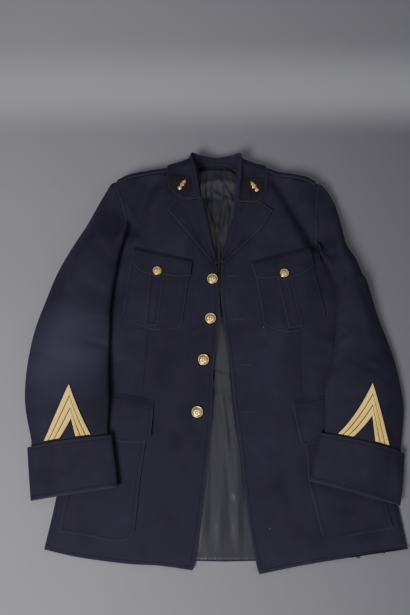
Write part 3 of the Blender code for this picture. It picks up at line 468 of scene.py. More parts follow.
# Folds of the lining: from x, y to x, y, height, half width. Negative heights are hollows.
LINING_FOLDS = [(-2.0, 30.0, -0.6, 12.0, 0.12, 0.55), (0.9, 31.5, 1.4, 12.0, 0.14, 0.5),
                (3.2, 30.0, 2.6, 14.0, 0.1, 0.45), (-0.6, 34.0, -0.2, 26.0, -0.06, 0.35),
                (2.2, 34.0, 2.1, 24.0, -0.06, 0.4), (1.2, -6.0, 0.9, -35.0, 0.16, 0.8),
                (3.6, -12.0, 4.4, -36.0, 0.12, 0.6), (-1.0, -16.0, -2.0, -36.5, 0.14, 0.8),
                (2.4, -20.0, 3.0, -36.0, -0.07, 0.4), (0.4, -9.8, 4.2, -9.2, 0.1, 0.5),
                (1.3, 35.6, 3.9, 31.4, 0.17, 0.3), (1.2, 35.4, 0.6, 31.6, 0.16, 0.28),
                (1.0, 35.2, -2.4, 33.9, 0.13, 0.3), (1.5, 35.7, 4.9, 34.2, 0.12, 0.28),
                (-0.6, 32.8, 4.2, 30.4, 0.16, 0.3), (-1.7, 31.2, 1.9, 31.0, -0.1, 0.3),
                (2.6, 31.0, 1.2, 26.6, 0.15, 0.32), (-0.7, 30.2, 1.0, 24.2, 0.13, 0.3),
                (3.4, 28.6, 1.9, 22.0, 0.12, 0.34), (0.2, -5.6, 2.6, -6.2, 0.13, 0.22),
                (0.6, -7.6, 2.2, -7.4, -0.1, 0.3), (1.6, -10.0, 3.6, -27.0, 0.14, 0.4)]


def lining_points(rows, columns):
    """Top of the lining: a flat rest, two slow waves and the placed folds, all above the back."""
    start = smooth([(-9.0, -37.2), (-6.5, -10.0), (-5.5, 15.0), (-4.7, 34.7)], rows)
    end = smooth([(13.0, -37.2), (10.0, -10.0), (8.5, 15.0), (6.9, 34.5)], rows)
    bottom = smooth([(-9.0, -37.2), (2.0, -37.3), (13.0, -37.2)], columns)
    top = smooth([(-4.7, 34.7), (-2.8, 37.0), (1.1, 37.8), (4.8, 37.0), (6.9, 34.5)], columns)
    plan = coons(bottom, top, start, end)
    x, y = plan[..., 0], plan[..., 1]
    waves = np.maximum(0.06 + 0.06 * np.sin(x * 1.1 + y * 0.06) + 0.04 * np.sin(x * 2.3 - y * 0.15), 0)
    for fold in LINING_FOLDS:
        waves = waves + hollow(x, y, fold)
    pucker = 0.035 * np.sin(x * 5.2 + 0.6 * np.sin(y)) * step(24.0, 33.0, y)
    waves = waves * step(-37.0, -30.0, y) + pucker
    return np.dstack([plan, LINING_REST + 0.38 * step(31.5, 35.0, y) + np.maximum(waves, -0.02)])


grey_satin = satin_material()
cloth("back_lining_satin", "back_lining", lining_points(150, 60), LINING_WALL, grey_satin)


# FRONTS
# Two fronts in the same wool, sewn to the back at sides and shoulders and stitched 6 mm in
# from their edges. A waist dart runs down each to its hip flap.
LEFT_HEM = [(-3.5, -38.9), (-8.8, -38.2), (-14.3, -37.9), (-22.5, -36.9), (-28.3, -35.7)]
RIGHT_HEM = [(7.5, -39.5), (14.9, -38.1), (23.5, -36.8), (32.4, -35.4)]
LEFT_DART = [(-12.1, 2.2), (-12.3, -4.0), (-12.7, -10.6)]
RIGHT_DART = [(16.2, 1.8), (16.0, -4.0), (16.1, -10.6)]
# Creases of the fronts: from x, y to x, y, height, half width.
FRONT_CREASES = [(-17.2, 24, -14, 19.5, 0.24, 0.9), (-18.4, 29.5, -14.4, 24, 0.18, 0.9),
                 (-8.5, 33.5, -13.2, 27, 0.18, 1.3), (20.4, 24.5, 16.8, 20, 0.24, 0.9),
                 (19.2, 30.5, 15.5, 25.5, 0.18, 1), (10.2, 33, 13.4, 26.5, -0.15, 1.2),
                 (-2.2, 2.6, -9.6, -0.6, 0.09, 0.8), (4.6, 8.2, 11.2, 0.8, 0.09, 0.8),
                 (-16.5, 1.2, -22.4, -1.6, 0.15, 1), (-15, -3.4, -22, -4.6, -0.12, 0.9),
                 (19.2, 0.6, 25.4, -2.4, 0.15, 1), (19, -4.2, 26, -5.4, -0.12, 0.9),
                 (-3.2, -20, -9.4, -34, 0.12, 1.6), (8.2, -19, 13.2, -34.5, 0.12, 1.5),
                 (-5.6, -12, -6.6, -30, -0.075, 1.3), (12.4, -14, 13, -30, -0.075, 1.3),
                 (-20.4, 19.6, -24.6, 12.4, 0.15, 0.8), (23, 15, 27, 9, 0.15, 0.8)]


def front_surface(x, y):
    """Top of the fronts with their creases, which every piece sewn on them follows."""
    z = front_height(x, y)
    for fold in FRONT_CREASES:
        z = z + hollow(x, y, fold)
    return z


def line_distance(x, y, line):
    """Signed distance in plan to a polyline, to its left above 0, and its size alone past its ends."""
    best, sign = np.full(x.shape, 1e3), np.ones(x.shape)
    for (x0, y0), (x1, y1) in zip(line[:-1], line[1:]):
        dx, dy = x1 - x0, y1 - y0
        t = ((x - x0) * dx + (y - y0) * dy) / (dx * dx + dy * dy)
        near = np.clip(t, 0, 1)
        far = np.hypot(x - x0 - near * dx, y - y0 - near * dy)
        side = np.where((t > -0.02) & (t < 1.02), np.sign(dx * (y - y0) - dy * (x - x0)), 1.0)
        best, sign = np.where(far < best, far, best), np.where(far < best, side, sign)
    return best * sign


def front_points(edge, roll, hem, armhole, shoulder, underarm, seam, rows, columns):
    """A front from its edge and roll line (first column) to its side seam and armhole (last)."""
    inner = smooth(edge + roll, rows)
    outer = smooth([(x, y) for y, x in seam if y < 10] + underarm + armhole[1:], rows)
    bottom, top = smooth(hem, columns), smooth(shoulder, columns)
    outer[0], outer[-1] = bottom[-1], top[-1]
    inner[0], inner[-1] = bottom[0], top[0]
    even = np.linspace(0, 1, columns)
    spread = 1 - (1 - even) ** 1.5
    plan = coons(bottom, top, inner, outer)
    plan = np.stack([np.stack([np.interp(spread, even, row[:, k]) for k in (0, 1)], -1) for row in plan])
    return np.dstack([plan, front_surface(plan[..., 0], plan[..., 1])])


LEFT_FRONT = front_points(LEFT_EDGE, LEFT_ROLL, LEFT_HEM, LEFT_ARMHOLE, LEFT_SHOULDER, LEFT_UNDERARM,
                          LEFT_SIDE, 210, 96)
RIGHT_FRONT = front_points(RIGHT_EDGE, RIGHT_ROLL, RIGHT_HEM, RIGHT_ARMHOLE, RIGHT_SHOULDER,
                           RIGHT_UNDERARM[::-1], RIGHT_SIDE, 210, 96)
for side, grid, dart, area in (("left", LEFT_FRONT, LEFT_DART, 0.176),
                               ("right", RIGHT_FRONT, RIGHT_DART, 0.172)):
    piece = cloth("front_panel_" + side, "front_" + side, grid, FRONT_WALL, navy_wool)
    away = line_distance(grid[..., 0], grid[..., 1], dart) * CM
    piece.data.attributes["seam"].data.foreach_set("value", away.astype(np.float32).ravel())


# BREAST AND HIP POCKETS
# Patch pockets with a box pleat on the breast ones, closed by flaps that hang over them
# from a seam. Each is a flat-cut piece that lies on the front and follows its creases.
PATCH_WALL, FLAP_WALL, PLEAT_WALL = 0.2, 0.22, 0.12
BAG_LIFT = REST + 0.03
PLEAT_LIFT = BAG_LIFT + PATCH_WALL + 0.05
FLAP_LIFT = PLEAT_LIFT + PLEAT_WALL + 0.06


def laid_points(start, end, bottom, top, size, lift, thickness, height=front_surface):
    """Plan between four edges, its top at the panel's height plus a lift by rows and its own wall."""
    rows, columns = size
    plan = coons(smooth(bottom, columns), smooth(top, columns), smooth(start, rows), smooth(end, rows))
    lift = np.interp(np.linspace(0, 1, rows), np.linspace(0, 1, len(lift)), lift)[:, None]
    return np.dstack([plan, height(plan[..., 0], plan[..., 1]) + lift + thickness])


# Kind: lifts from bottom to top, wall, rows and columns.
LAID = {"breast_pocket": ([BAG_LIFT, BAG_LIFT], PATCH_WALL, (80, 60)),
        "breast_pleat": ([PLEAT_LIFT, PLEAT_LIFT], PLEAT_WALL, (66, 20)),
        "breast_flap": ([FLAP_LIFT] * 4 + [FLAP_LIFT - 0.12, -0.12], FLAP_WALL, (48, 72)),
        "hip_pocket": ([BAG_LIFT, BAG_LIFT], PATCH_WALL, (80, 60)),
        "hip_flap": ([PLEAT_LIFT] * 3 + [PLEAT_LIFT - 0.1, -0.12], FLAP_WALL, (48, 72))}
# Name: left edge, right edge, bottom, top, flat size and area in metres.
POCKETS = {
    "breast_pocket_left": ([(-15.6, 3.8), (-16.7, 4.9), (-16.8, 6.0), (-15.9, 14.6), (-15.5, 17.0)],
        [(-6.8, 2.3), (-5.8, 3.2), (-5.5, 5.0), (-4.6, 11.5), (-4.3, 15.0)],
        [(-15.6, 3.8), (-11.4, 2.2), (-6.8, 2.3)], [(-15.5, 17.0), (-4.3, 15.0)], (0.125, 0.149), 0.0150),
    "breast_pocket_right": ([(10.4, 2.6), (9.4, 3.6), (9.3, 5.0), (8.4, 11.5), (7.9, 15.0)],
        [(18.6, 2.9), (20.6, 4.2), (21.1, 5.6), (19.9, 12.5), (19.2, 16.0)],
        [(10.4, 2.6), (14.1, 1.6), (18.6, 2.9)], [(7.9, 15.0), (19.2, 16.0)], (0.132, 0.144), 0.0150),
    "breast_pleat_left": ([(-12.7, 2.9), (-11.9, 13.9)], [(-10.2, 2.7), (-9.1, 14.0)],
        [(-12.7, 2.9), (-10.2, 2.7)], [(-11.9, 13.9), (-9.1, 14.0)], (0.035, 0.105), 0.0030),
    "breast_pleat_right": ([(14.1, 2.3), (12.1, 13.2)], [(16.8, 2.8), (14.9, 13.6)],
        [(14.1, 2.3), (16.8, 2.8)], [(12.1, 13.2), (14.9, 13.6)], (0.035, 0.105), 0.0030),
    "breast_flap_left": ([(-15.65, 15.6), (-15.1, 18.8)], [(-4.2, 12.7), (-3.9, 16.2)],
        [(-15.65, 15.6), (-13.6, 13.5), (-12.0, 12.9), (-10.5, 12.3), (-9.0, 12.7), (-6.5, 12.4),
         (-4.2, 12.7)], [(-15.1, 18.8), (-3.9, 16.2)], (0.117, 0.052), 0.0053),
    "breast_flap_right": ([(8.1, 12.3), (7.3, 15.8)], [(19.5, 14.9), (18.8, 19.0)],
        [(8.1, 12.3), (10.3, 12.0), (12.2, 12.2), (13.6, 11.7), (15.2, 12.3), (17.2, 13.0), (19.5, 14.9)],
        [(7.3, 15.8), (18.8, 19.0)], (0.120, 0.056), 0.0058),
    "hip_pocket_left": ([(-26.0, -33.0), (-25.3, -28.0), (-24.0, -20.0), (-23.4, -12.6)],
        [(-14.8, -34.3), (-13.4, -33.0), (-13.0, -30.3), (-12.6, -25.0), (-11.9, -18.8), (-11.3, -13.4)],
        [(-26.0, -33.0), (-21.1, -33.6), (-17.7, -34.3), (-14.8, -34.3)],
        [(-23.4, -12.6), (-11.3, -13.4)], (0.130, 0.215), 0.0255),
    "hip_pocket_right": ([(19.0, -33.8), (18.1, -33.1), (17.0, -27.9), (16.4, -25.0), (16.2, -19.6),
         (15.1, -13.6)], [(30.2, -32.4), (29.0, -27.0), (27.6, -20.0), (26.6, -12.4)],
        [(19.0, -33.8), (20.9, -33.9), (25.2, -33.2), (30.2, -32.4)], [(15.1, -13.6), (26.6, -12.4)],
        (0.130, 0.210), 0.0240),
    "hip_flap_left": ([(-23.9, -17.3), (-23.7, -9.3)],
        [(-11.8, -18.3), (-10.9, -17.2), (-10.8, -15.9), (-10.5, -11.0)],
        [(-23.9, -17.3), (-15.5, -18.3), (-11.8, -18.3)], [(-23.7, -9.3), (-16.5, -9.8), (-10.5, -11.0)],
        (0.132, 0.085), 0.0106),
    "hip_flap_right": ([(15.9, -18.9), (15.2, -18.0), (14.1, -11.1)], [(27.0, -17.2), (26.8, -9.1)],
        [(15.9, -18.9), (17.5, -18.5), (27.0, -17.2)], [(14.1, -11.1), (19.0, -10.2), (26.8, -9.1)],
        (0.125, 0.085), 0.0100),
}
POCKET_GRIDS = {}
for name, (start, end, bottom, top, flat, area) in POCKETS.items():
    kind, side = name.rsplit("_", 1)
    lift, thickness, size = LAID[kind]
    grid = POCKET_GRIDS[name] = laid_points(start, end, bottom, top, size, lift, thickness)
    cloth(name + "_wool", name, grid, thickness, navy_wool)


# LAPELS
# The top of each front turned back on itself: the cloth curls up round the roll line and
# lies on the chest, with a pointed tip under the collar's notch.
LAPEL_WALL, ROLL = 0.25, 0.38
LEFT_LAPEL = [(0.2, 15.3), (-3.9, 20.5), (-8.9, 26.6)]
RIGHT_LAPEL = [(2.3, 15.5), (4.4, 17.5), (7.6, 20.6), (9.8, 22.9), (11.9, 26.4)]
LEFT_GORGE = [(-8.9, 26.9), (-7.7, 28.15), (-6.5, 29.45), (-4.4, 29.5), (-2.1, 29.5)]
RIGHT_GORGE = [(11.9, 26.4), (10.6, 27.5), (9.4, 28.6), (7.2, 28.75), (5.15, 28.75)]


def roll_height(x, y, away):
    """Top of a turned-back leaf: the front, its wall, and a bell about the roll line."""
    return front_surface(x, y) + REST + LAPEL_WALL + 0.42 * np.exp(-(away / 1.3) ** 2)


def lapel_points(roll, edge, gorge, rows, columns):
    """Columns curl up from inside the roll line and then run out over the front to the edge."""
    low = smooth([p for p in roll if p[1] < 27.0] + [gorge[-1]], rows)
    outer = smooth(edge, rows)
    flat = coons(smooth([low[0], outer[0]], 12), smooth(gorge[::-1], 12), low, outer)
    width = np.linalg.norm(outer - low, axis=1, keepdims=True)
    away = (outer - low) / width
    slim = np.clip(width[:, 0] * 0.27, 0.08, 1.0)
    control = []
    for r, z in zip([-1.1, -1.1, -0.75, 0.0, 1.6, 3.4], [-0.75, -0.2, 0.22, 0.48, 0.44, 0.2]):
        shift = np.where(r > 0, r * ROLL * slim, r * ROLL)[:, None]
        height = front_surface(low[:, 0], low[:, 1]) + REST + z + LAPEL_WALL * (z > 0)
        control.append(np.column_stack([low + away * shift, height]))
    for t in np.linspace(0.42, 1.0, 5):
        k = min(int(t * 11), 10)
        point = flat[:, k] + (flat[:, k + 1] - flat[:, k]) * (t * 11 - k)
        gap = np.linalg.norm(point - low, axis=1)
        control.append(np.column_stack([point, roll_height(point[:, 0], point[:, 1], gap)]))
    at = np.linspace(0, 10, columns)
    grid = stations(np.stack(control), at).swapaxes(0, 1)
    gap = np.linalg.norm(grid[..., :2] - low[:, None], axis=2)
    lying = roll_height(grid[..., 0], grid[..., 1], gap)
    grid[..., 2] += (lying - grid[..., 2]) * step(5.2, 6.4, at)[None, :]
    grid[..., 2] += 0.26 * step(7.0, 10.0, at)[None, :]
    return grid


LAPEL_GRIDS = {"left": lapel_points(LEFT_ROLL, LEFT_LAPEL, LEFT_GORGE, 90, 60),
               "right": lapel_points(RIGHT_ROLL, RIGHT_LAPEL, RIGHT_GORGE, 90, 60)}
for (side, grid), area in zip(LAPEL_GRIDS.items(), (0.0085, 0.0084)):
    cloth("lapel_%s_wool" % side, "lapel_" + side, grid, LAPEL_WALL, navy_wool)


# COLLAR
# Leaf, fold and stand in one piece round the neck. The leaf lies on the fronts as far as
# the shoulders, and stands up round the back of the neck.
COLLAR_WALL, LEAF_TURN = 0.26, 34.9
# Stations from the left end to the right: outer edge x, y, z; ridge x, y, z; foot x, y, z.
COLLAR = [(-8.7, 31.7, 4.0, -2.5, 29.2, 4.05, -2.0, 29.3, 2.9),
          (-8.9, 33.4, 4.0, -2.95, 32.3, 4.5, -2.35, 32.2, 2.9),
          (-9.1, 35.4, 4.0, -3.5, 35.8, 4.85, -2.7, 35.2, 2.6),
          (-8.7, 37.5, 2.9, -4.15, 38.95, 4.8, -2.9, 36.9, 2.0),
          (-6.0, 38.4, 0.9, -2.4, 39.4, 3.5, -1.9, 38.0, 1.45),
          (0.9, 37.0, 0.02, 0.9, 39.5, 2.3, 0.9, 38.4, 1.2),
          (7.6, 38.3, 0.9, 4.0, 39.3, 3.5, 3.7, 37.9, 1.45),
          (10.7, 37.3, 2.9, 5.75, 38.85, 4.8, 4.7, 36.7, 2.0),
          (11.2, 35.1, 4.0, 5.9, 35.6, 4.85, 5.1, 35.0, 2.6),
          (11.1, 32.6, 4.0, 5.6, 31.9, 4.5, 5.0, 31.8, 2.9),
          (11.0, 30.5, 4.0, 5.25, 28.5, 4.05, 4.75, 28.65, 2.9)]
LEFT_COLLAR_END = [(-8.7, 31.7), (-6.4, 29.6), (-4.5, 29.3)]
RIGHT_COLLAR_END = [(11.0, 30.5), (9.3, 28.75), (7.2, 28.6)]


def leaf_height(x, y):
    """Top of the collar's leaf where it lies on the front: a roll height about its side's roll line."""
    line = np.where(x < MIDDLE, table([(b, a) for a, b in LEFT_ROLL], 1, y),
                    table([(b, a) for a, b in RIGHT_ROLL], 1, y))
    return roll_height(x, np.minimum(y, LEAF_TURN), np.abs(x - line)) + 0.03


def collar_points(rows, columns):
    """Six controls across at 27 stations, then Catmull-Rom both ways, the leaf laid on the front."""
    count = 27
    ring = stations(COLLAR, np.linspace(0, len(COLLAR) - 1, count))
    edge, ridge, foot = ring[:, 0:3], ring[:, 3:6], ring[:, 6:9]
    lying = 1 - step(34.6, 36.6, edge[:, 1])[:, None]
    ends = [np.array(LEFT_COLLAR_END), np.array(RIGHT_COLLAR_END)]
    control = []
    for rank, t in enumerate((0.0, 0.32, 0.7)):
        round_xy = edge[:, :2] + (ridge[:, :2] - edge[:, :2]) * (1 - (1 - t) ** 1.6)
        round_z = edge[:, 2] + (ridge[:, 2] - edge[:, 2]) * t ** 3.6
        flat_xy = edge[:, :2] + (ridge[:, :2] - edge[:, :2]) * t
        for end, first, way in ((0, 0, 1), (1, count - 1, -1)):
            shift = ends[end][rank] - flat_xy[first]
            near = first + way * np.arange(6)
            flat_xy[near] += shift * ((1 - np.arange(6) / 6) ** 2)[:, None]
        flat = np.column_stack([flat_xy, leaf_height(flat_xy[:, 0], flat_xy[:, 1])])
        control.append(flat * lying + np.column_stack([round_xy, round_z]) * (1 - lying))
    top = roll_height(ridge[:, 0], np.minimum(ridge[:, 1], LEAF_TURN), np.zeros(count)) + 0.04
    ridge[:, 2] = np.where(lying[:, 0] > 0.5, np.maximum(top, ridge[:, 2]), ridge[:, 2])
    control += [ridge, ridge * 0.45 + foot * 0.55, foot]
    at = np.linspace(0, 5, columns)
    along = np.linspace(0, count - 1, rows)
    grid = stations(stations(np.stack(control), at).swapaxes(0, 1), along)
    weight = np.interp(along, np.arange(count), lying[:, 0])[:, None]
    weight = weight * np.clip((3.0 - at) / 0.5, 0, 1)[None, :]
    grid[..., 2] += (np.maximum(leaf_height(grid[..., 0], grid[..., 1]), 0) - grid[..., 2]) * weight
    return grid


COLLAR_GRID = collar_points(220, 72)
cloth("collar_wool", "collar", COLLAR_GRID, COLLAR_WALL, navy_wool)


# SHOULDER STRAPS
# A narrow strap of the same wool, folded over the shoulder's edge from front to back and
# sewn into the armhole seam.
STRAP_WALL = 0.22


def strap_points(shoulder, way, rows, columns):
    """Section folded over the shoulder line: reach out from the line, height as a share of the front's."""
    line = stations(smooth(shoulder, 40)[12:-2], np.linspace(0, 25, rows))
    x, y = line[:, 0], line[:, 1]
    crown = front_surface(x, y - 0.85) + REST + STRAP_WALL + 0.12
    profile = stations([(-0.85, 1.0), (-0.45, 0.99), (-0.1, 0.955), (0.22, 0.88), (0.4, 0.7), (0.36, 0.45),
                        (0.2, 0.25)], np.linspace(0, 6, columns))
    share = profile[:, 1]
    reach = profile[:, 0] - 0.3 * step(0.78, 1.0, np.linspace(0, 1, rows))[:, None]
    return np.dstack([x[:, None] + way * 0.25 * reach, y[:, None] + reach, crown[:, None] * share])


for side, shoulder, way, area in (("left", LEFT_SHOULDER, -1, 0.0039), ("right", RIGHT_SHOULDER, 1, 0.0038)):
    cloth("shoulder_strap_%s_wool" % side, "shoulder_strap_" + side, strap_points(shoulder, way, 60, 30),
          STRAP_WALL, navy_wool)


# SLEEVES
# Two sleeves of the same wool, each a soft tube set into its armhole and lying beside and
# over the body. They crease inside the elbow, and run on inside the turned-back cuffs.
SLEEVE_WALL, SLEEVE_FOLD, SLEEVE_REST, POCKET_STACK = 0.2, 0.85, 0.36, 0.68
CUFF_TOP_RING, WRIST_RING, CUFF_RAMP, CUFF_INSET, INSET_REACH = 10.3, 12.0, 2.2, 0.37, 2.2
# Rings from shoulder to wrist: outer x, outer y, inner x, inner y, bulge.
LEFT_SLEEVE = [(-20.25, 34.0, -16.8, 22.4, 0.8), (-22.6, 29.3, -17.2, 19.8, 1.5),
               (-25.0, 24.2, -17.8, 16.8, 1.9), (-27.7, 19.0, -18.3, 13.6, 2.1),
               (-30.0, 13.9, -18.7, 10.0, 2.1), (-31.8, 8.0, -19.0, 6.2, 1.9),
               (-33.3, 2.4, -19.0, 2.0, 1.8), (-34.0, -3.6, -18.9, -2.9, 1.8),
               (-34.0, -9.0, -18.6, -8.0, 1.7), (-33.4, -14.0, -18.1, -12.6, 1.5),
               (-32.7, -18.2, -17.6, -16.4, 1.4), (-32.2, -21.5, -17.2, -19.4, 1.3),
               (-31.1, -28.0, -16.1, -25.8, 1.2)]
RIGHT_SLEEVE = [(21.95, 33.5, 21.05, 17.1, 0.8), (24.5, 29.6, 21.8, 14.6, 1.4),
                (25.7, 24.6, 22.7, 12.0, 1.8), (26.4, 20.3, 23.3, 9.6, 2.0), (28.2, 16.6, 23.4, 7.4, 2.1),
                (29.8, 10.7, 23.1, 4.6, 2.1), (31.5, 3.9, 22.7, 1.0, 1.9), (33.3, -2.9, 21.7, -3.6, 1.8),
                (34.09, -9.5, 20.3, -7.6, 1.7), (34.09, -14.5, 19.4, -12.4, 1.5),
                (33.6, -19.2, 18.7, -16.1, 1.4), (33.0, -22.4, 18.0, -18.8, 1.3),
                (31.5, -28.8, 16.3, -24.8, 1.2)]
HEAD_LAP = 0.14
# Creases: ring, place across (0 outer, 1 inner), length in rings, width across, depth, slant.
LEFT_CREASES = [(6.1, 0.75, 0.45, 0.3, 0.55, 0), (5.2, 0.5, 0.5, 0.3, -0.25, 0),
                (7.4, 0.6, 0.5, 0.3, 0.2, 0), (1.4, 0.55, 0.8, 0.3, 0.14, 0),
                (6.6, 0.9, 0.14, 0.22, 0.272, 0.5), (5.65, 0.86, 0.13, 0.2, 0.238, -0.6),
                (7, 0.35, 0.16, 0.28, 0.153, 1), (4.3, 0.7, 0.2, 0.24, 0.17, 0.8),
                (8.6, 0.72, 0.2, 0.2, 0.136, -0.7), (0.9, 0.82, 0.3, 0.12, 0.238, 1.2),
                (2.6, 0.8, 0.3, 0.16, 0.17, 1), (3.3, 0.3, 0.4, 0.2, -0.08, 0.6)]
RIGHT_CREASES = [(5.6, 0.75, 0.5, 0.3, 0.45, 0), (6.9, 0.55, 0.5, 0.3, 0.3, 0),
                 (2.4, 0.5, 0.8, 0.3, 0.16, 0), (6.1, 0.88, 0.14, 0.2, 0.238, 0.6),
                 (5, 0.84, 0.14, 0.2, 0.204, -0.6), (7.5, 0.4, 0.16, 0.26, 0.17, -1),
                 (1.5, 0.78, 0.24, 0.14, 0.238, 1.1), (3.4, 0.6, 0.24, 0.22, 0.204, 0.9),
                 (4.2, 0.3, 0.3, 0.2, 0.17, 0.7), (8.5, 0.65, 0.2, 0.2, 0.136, 0.8),
                 (1, 0.45, 0.2, 0.14, -0.17, 0.8)]


def bed_height(x, y, ring):
    """What a sleeve lies on: the floor, or the body and its pocket inside the side seam."""
    stack = SLEEVE_REST + (POCKET_STACK - SLEEVE_REST) * step(6.5, 8.5, ring)
    return step(-4.8, -0.4, side_distance(x, y, signed=True)) * (front_height(x, y, turned=False) + stack)


def inset_share(rings, ring, inset):
    """Share of a sleeve's width by which an inset draws its folds in."""
    row = stations(rings, ring)
    return INSET_REACH * inset / np.hypot(row[..., 2] - row[..., 0], row[..., 3] - row[..., 1])


def head_shift(rings, share):
    """Way along x from the first ring's straight line to the armhole, and a lap in under the front."""
    ox, oy, ix, iy = rings[0][:4]
    curve = smooth(LEFT_ARMHOLE if ox < MIDDLE else RIGHT_ARMHOLE, 60)
    armhole = np.interp(oy + (iy - oy) * share, curve[:, 1], curve[:, 0])
    return armhole - (ox + (ix - ox) * share) + (HEAD_LAP if ox < MIDDLE else -HEAD_LAP)


def sleeve_point(rings, creases, ring, angle, inset=0.0):
    """Section of a laid tube: fold height plus a bulge over the top, the bed beneath.

    Angle 0 is the outer fold and pi the inner one. An inset draws the section in all round.
    """
    ox, oy, ix, iy, bulge = np.moveaxis(stations(rings, ring), -1, 0)
    pull = inset_share(rings, ring, inset)
    share = pull + (1 - 2 * pull) * (0.5 - 0.5 * np.cos(angle))
    x, y = ox + (ix - ox) * share, oy + (iy - oy) * share
    lift = 2 * np.sqrt(np.clip(share * (1 - share), 0, 1))
    bed = bed_height(x, y, ring)
    x = x + head_shift(rings, share) * (1 - step(0.0, 1.6, ring))
    fold = np.maximum(SLEEVE_FOLD + bed_height(ix, iy, ring) * step(-0.12, 0.44, share), bed + 0.4)
    top = fold + bulge * lift ** 0.85
    for centre, across, long, wide, depth, slant in creases:
        off = ring - centre - slant * (share - across)
        bell = np.exp(-(off / long) ** 2 - ((share - across) / wide) ** 2)
        top = top - depth * bell * np.minimum(1, 3 * lift)
    seam = (1 - step(0.0, 2.2, ring)) * (1 - step(0.72, 0.98, share))
    top = top + (front_height(x, y) - 0.03 - top) * seam
    bottom = bed + (fold - bed) * (1 - lift ** 0.4)
    closed = 1 - inset / CUFF_INSET * (1 - np.abs(np.sin(angle)) ** 0.5)
    half = np.maximum((top - bottom) / 2 - inset, 0.0) * closed
    z = (top + bottom) / 2 + np.where(np.sin(angle) >= -1e-9, half, -half)
    return np.stack([x, y, z], -1)


def sleeve_inset(ring):
    """How far the sleeve is drawn in on its way into the cuff."""
    return CUFF_INSET * step(CUFF_TOP_RING - CUFF_RAMP, CUFF_TOP_RING - 0.1, ring)


def tube_points(rings, creases, first, last, rows, columns, inside):
    """Grid of a sleeve or cuff: rings along it, and closer angles near its two folds."""
    ring, turn = np.linspace(first, last, rows), round_angles(columns)
    angle = turn - 0.28 * np.sin(2 * turn)
    ring, angle = np.meshgrid(ring, angle, indexing="ij")
    return sleeve_point(rings, creases, ring, angle, sleeve_inset(ring) if inside else np.zeros(ring.shape))


SLEEVES = (("left", LEFT_SLEEVE, LEFT_CREASES), ("right", RIGHT_SLEEVE, RIGHT_CREASES))
for side, rings, creases in SLEEVES:
    grid = tube_points(rings, creases, 0.0, WRIST_RING - 0.06, 170, 104, True)
    cloth("sleeve_%s_wool" % side, "sleeve_" + side, grid, SLEEVE_WALL, navy_wool,
          facing="out", wrap=True)


# CUFFS
# The sleeve's end turned back on itself as a deep plain cuff, 9 cm high, a little wider
# than the sleeve that it wraps.
CUFF_WALL = 0.25
CUFF_GRIDS = {}
for side, rings, creases in SLEEVES:
    grid = CUFF_GRIDS[side] = tube_points(rings, creases, CUFF_TOP_RING, WRIST_RING, 36, 132, False)
    cloth("cuff_%s_wool" % side, "cuff_" + side, grid, CUFF_WALL, navy_wool,
          facing="out", wrap=True)


# SLEEVE CHEVRONS
# Three stripes of woven gold braid on each sleeve, one inside the next, in an upright V
# whose feet run down to the cuff.
BRAID_WALL = 0.14


def braid_effect():
    """Gold braid on a map in metres: slanting threads that meet in the middle, and bound edges."""
    group, into, out = effect("braid_threads", {"Map": None, "Width": 0.006}, ["Thread", "Height"])
    split = node(group, "SeparateXYZ", {0: into.outputs["Map"]})
    off = sums(group, "ABSOLUTE", sums(group, "SUBTRACT", split.outputs[1],
                                       times(group, into.outputs["Width"], 0.5)))
    slant = sums(group, "MULTIPLY_ADD", off, 0.9, split.outputs[0])
    thread = sums(group, "MULTIPLY_ADD", sums(group, "SINE", times(group, slant, 6900.0)), 0.5, 0.5)
    cord = sums(group, "MULTIPLY_ADD", sums(group, "COSINE", times(group, off, 4200.0)), 0.5, 0.5)
    height = sums(group, "MULTIPLY_ADD", cord, 0.7, thread)
    group.links.new(thread, out.inputs["Thread"])
    group.links.new(height, out.inputs["Height"])
    return group


def braid_material():
    """Woven metal thread: pale gold tops, amber gaps, an uneven tone, and rims dark with their shadow."""
    made, tree, shader = new_material("gold_braid_threads", 0.42, Specular_IOR_Level=0.8,
                                      Sheen_Weight=0.35, Sheen_Tint=srgb(255, 222, 120))
    chart = node(tree, "UVMap", uv_map="cloth").outputs[0]
    weave = node(tree, "Group", {"Map": chart}, node_tree=braid_effect())
    place = node(tree, "TexCoord").outputs["Object"]
    base = mixed(tree, weave.outputs["Thread"], srgb(255, 192, 74), srgb(255, 246, 146))
    base = mixed(tree, times(tree, noise(tree, place, 160, 3), 0.2), base, srgb(250, 206, 104))
    rim = node(tree, "Attribute", attribute_name="edge").outputs["Fac"]
    gap = ranged(tree, rim, 0.0002, 0.0009, 1, 0, smooth_step=True)
    base = mixed(tree, times(tree, gap, 0.85), base, srgb(52, 34, 30))
    surface(tree, shader, base, times(tree, weave.outputs["Height"], 0.00028), 0.9)
    tree.links.new(ranged(tree, weave.outputs["Thread"], 0.0, 1.0, 0.0, 0.16), shader.inputs["Metallic"])
    return made


gold_braid = braid_material()


def chevron_points(rings, creases, inner, outer, rows, columns):
    """Ring and place across run from foot to apex to foot; the braid lies on the sleeve there."""
    line = np.linspace(-1, 1, columns)
    place = []
    for apex_ring, apex_share, foot_low, foot_high, foot_ring in (inner, outer):
        ring = apex_ring + (foot_ring - apex_ring) * np.abs(line)
        share = apex_share + (np.where(line < 0, foot_low, foot_high) - apex_share) * np.abs(line)
        place.append(np.stack([ring, share], -1))
    t = np.linspace(0, 1, rows)[:, None, None]
    place = place[0][None] * (1 - t) + place[1][None] * t
    ring, share = place[..., 0], place[..., 1]
    inset = sleeve_inset(ring)
    pull = inset_share(rings, ring, inset)
    point = sleeve_point(rings, creases, ring, np.arccos(1 - 2 * (share - pull) / (1 - 2 * pull)), inset)
    point[..., 2] += REST + 0.05 + BRAID_WALL + 0.02 * np.sin(np.pi * t[..., 0])
    return point


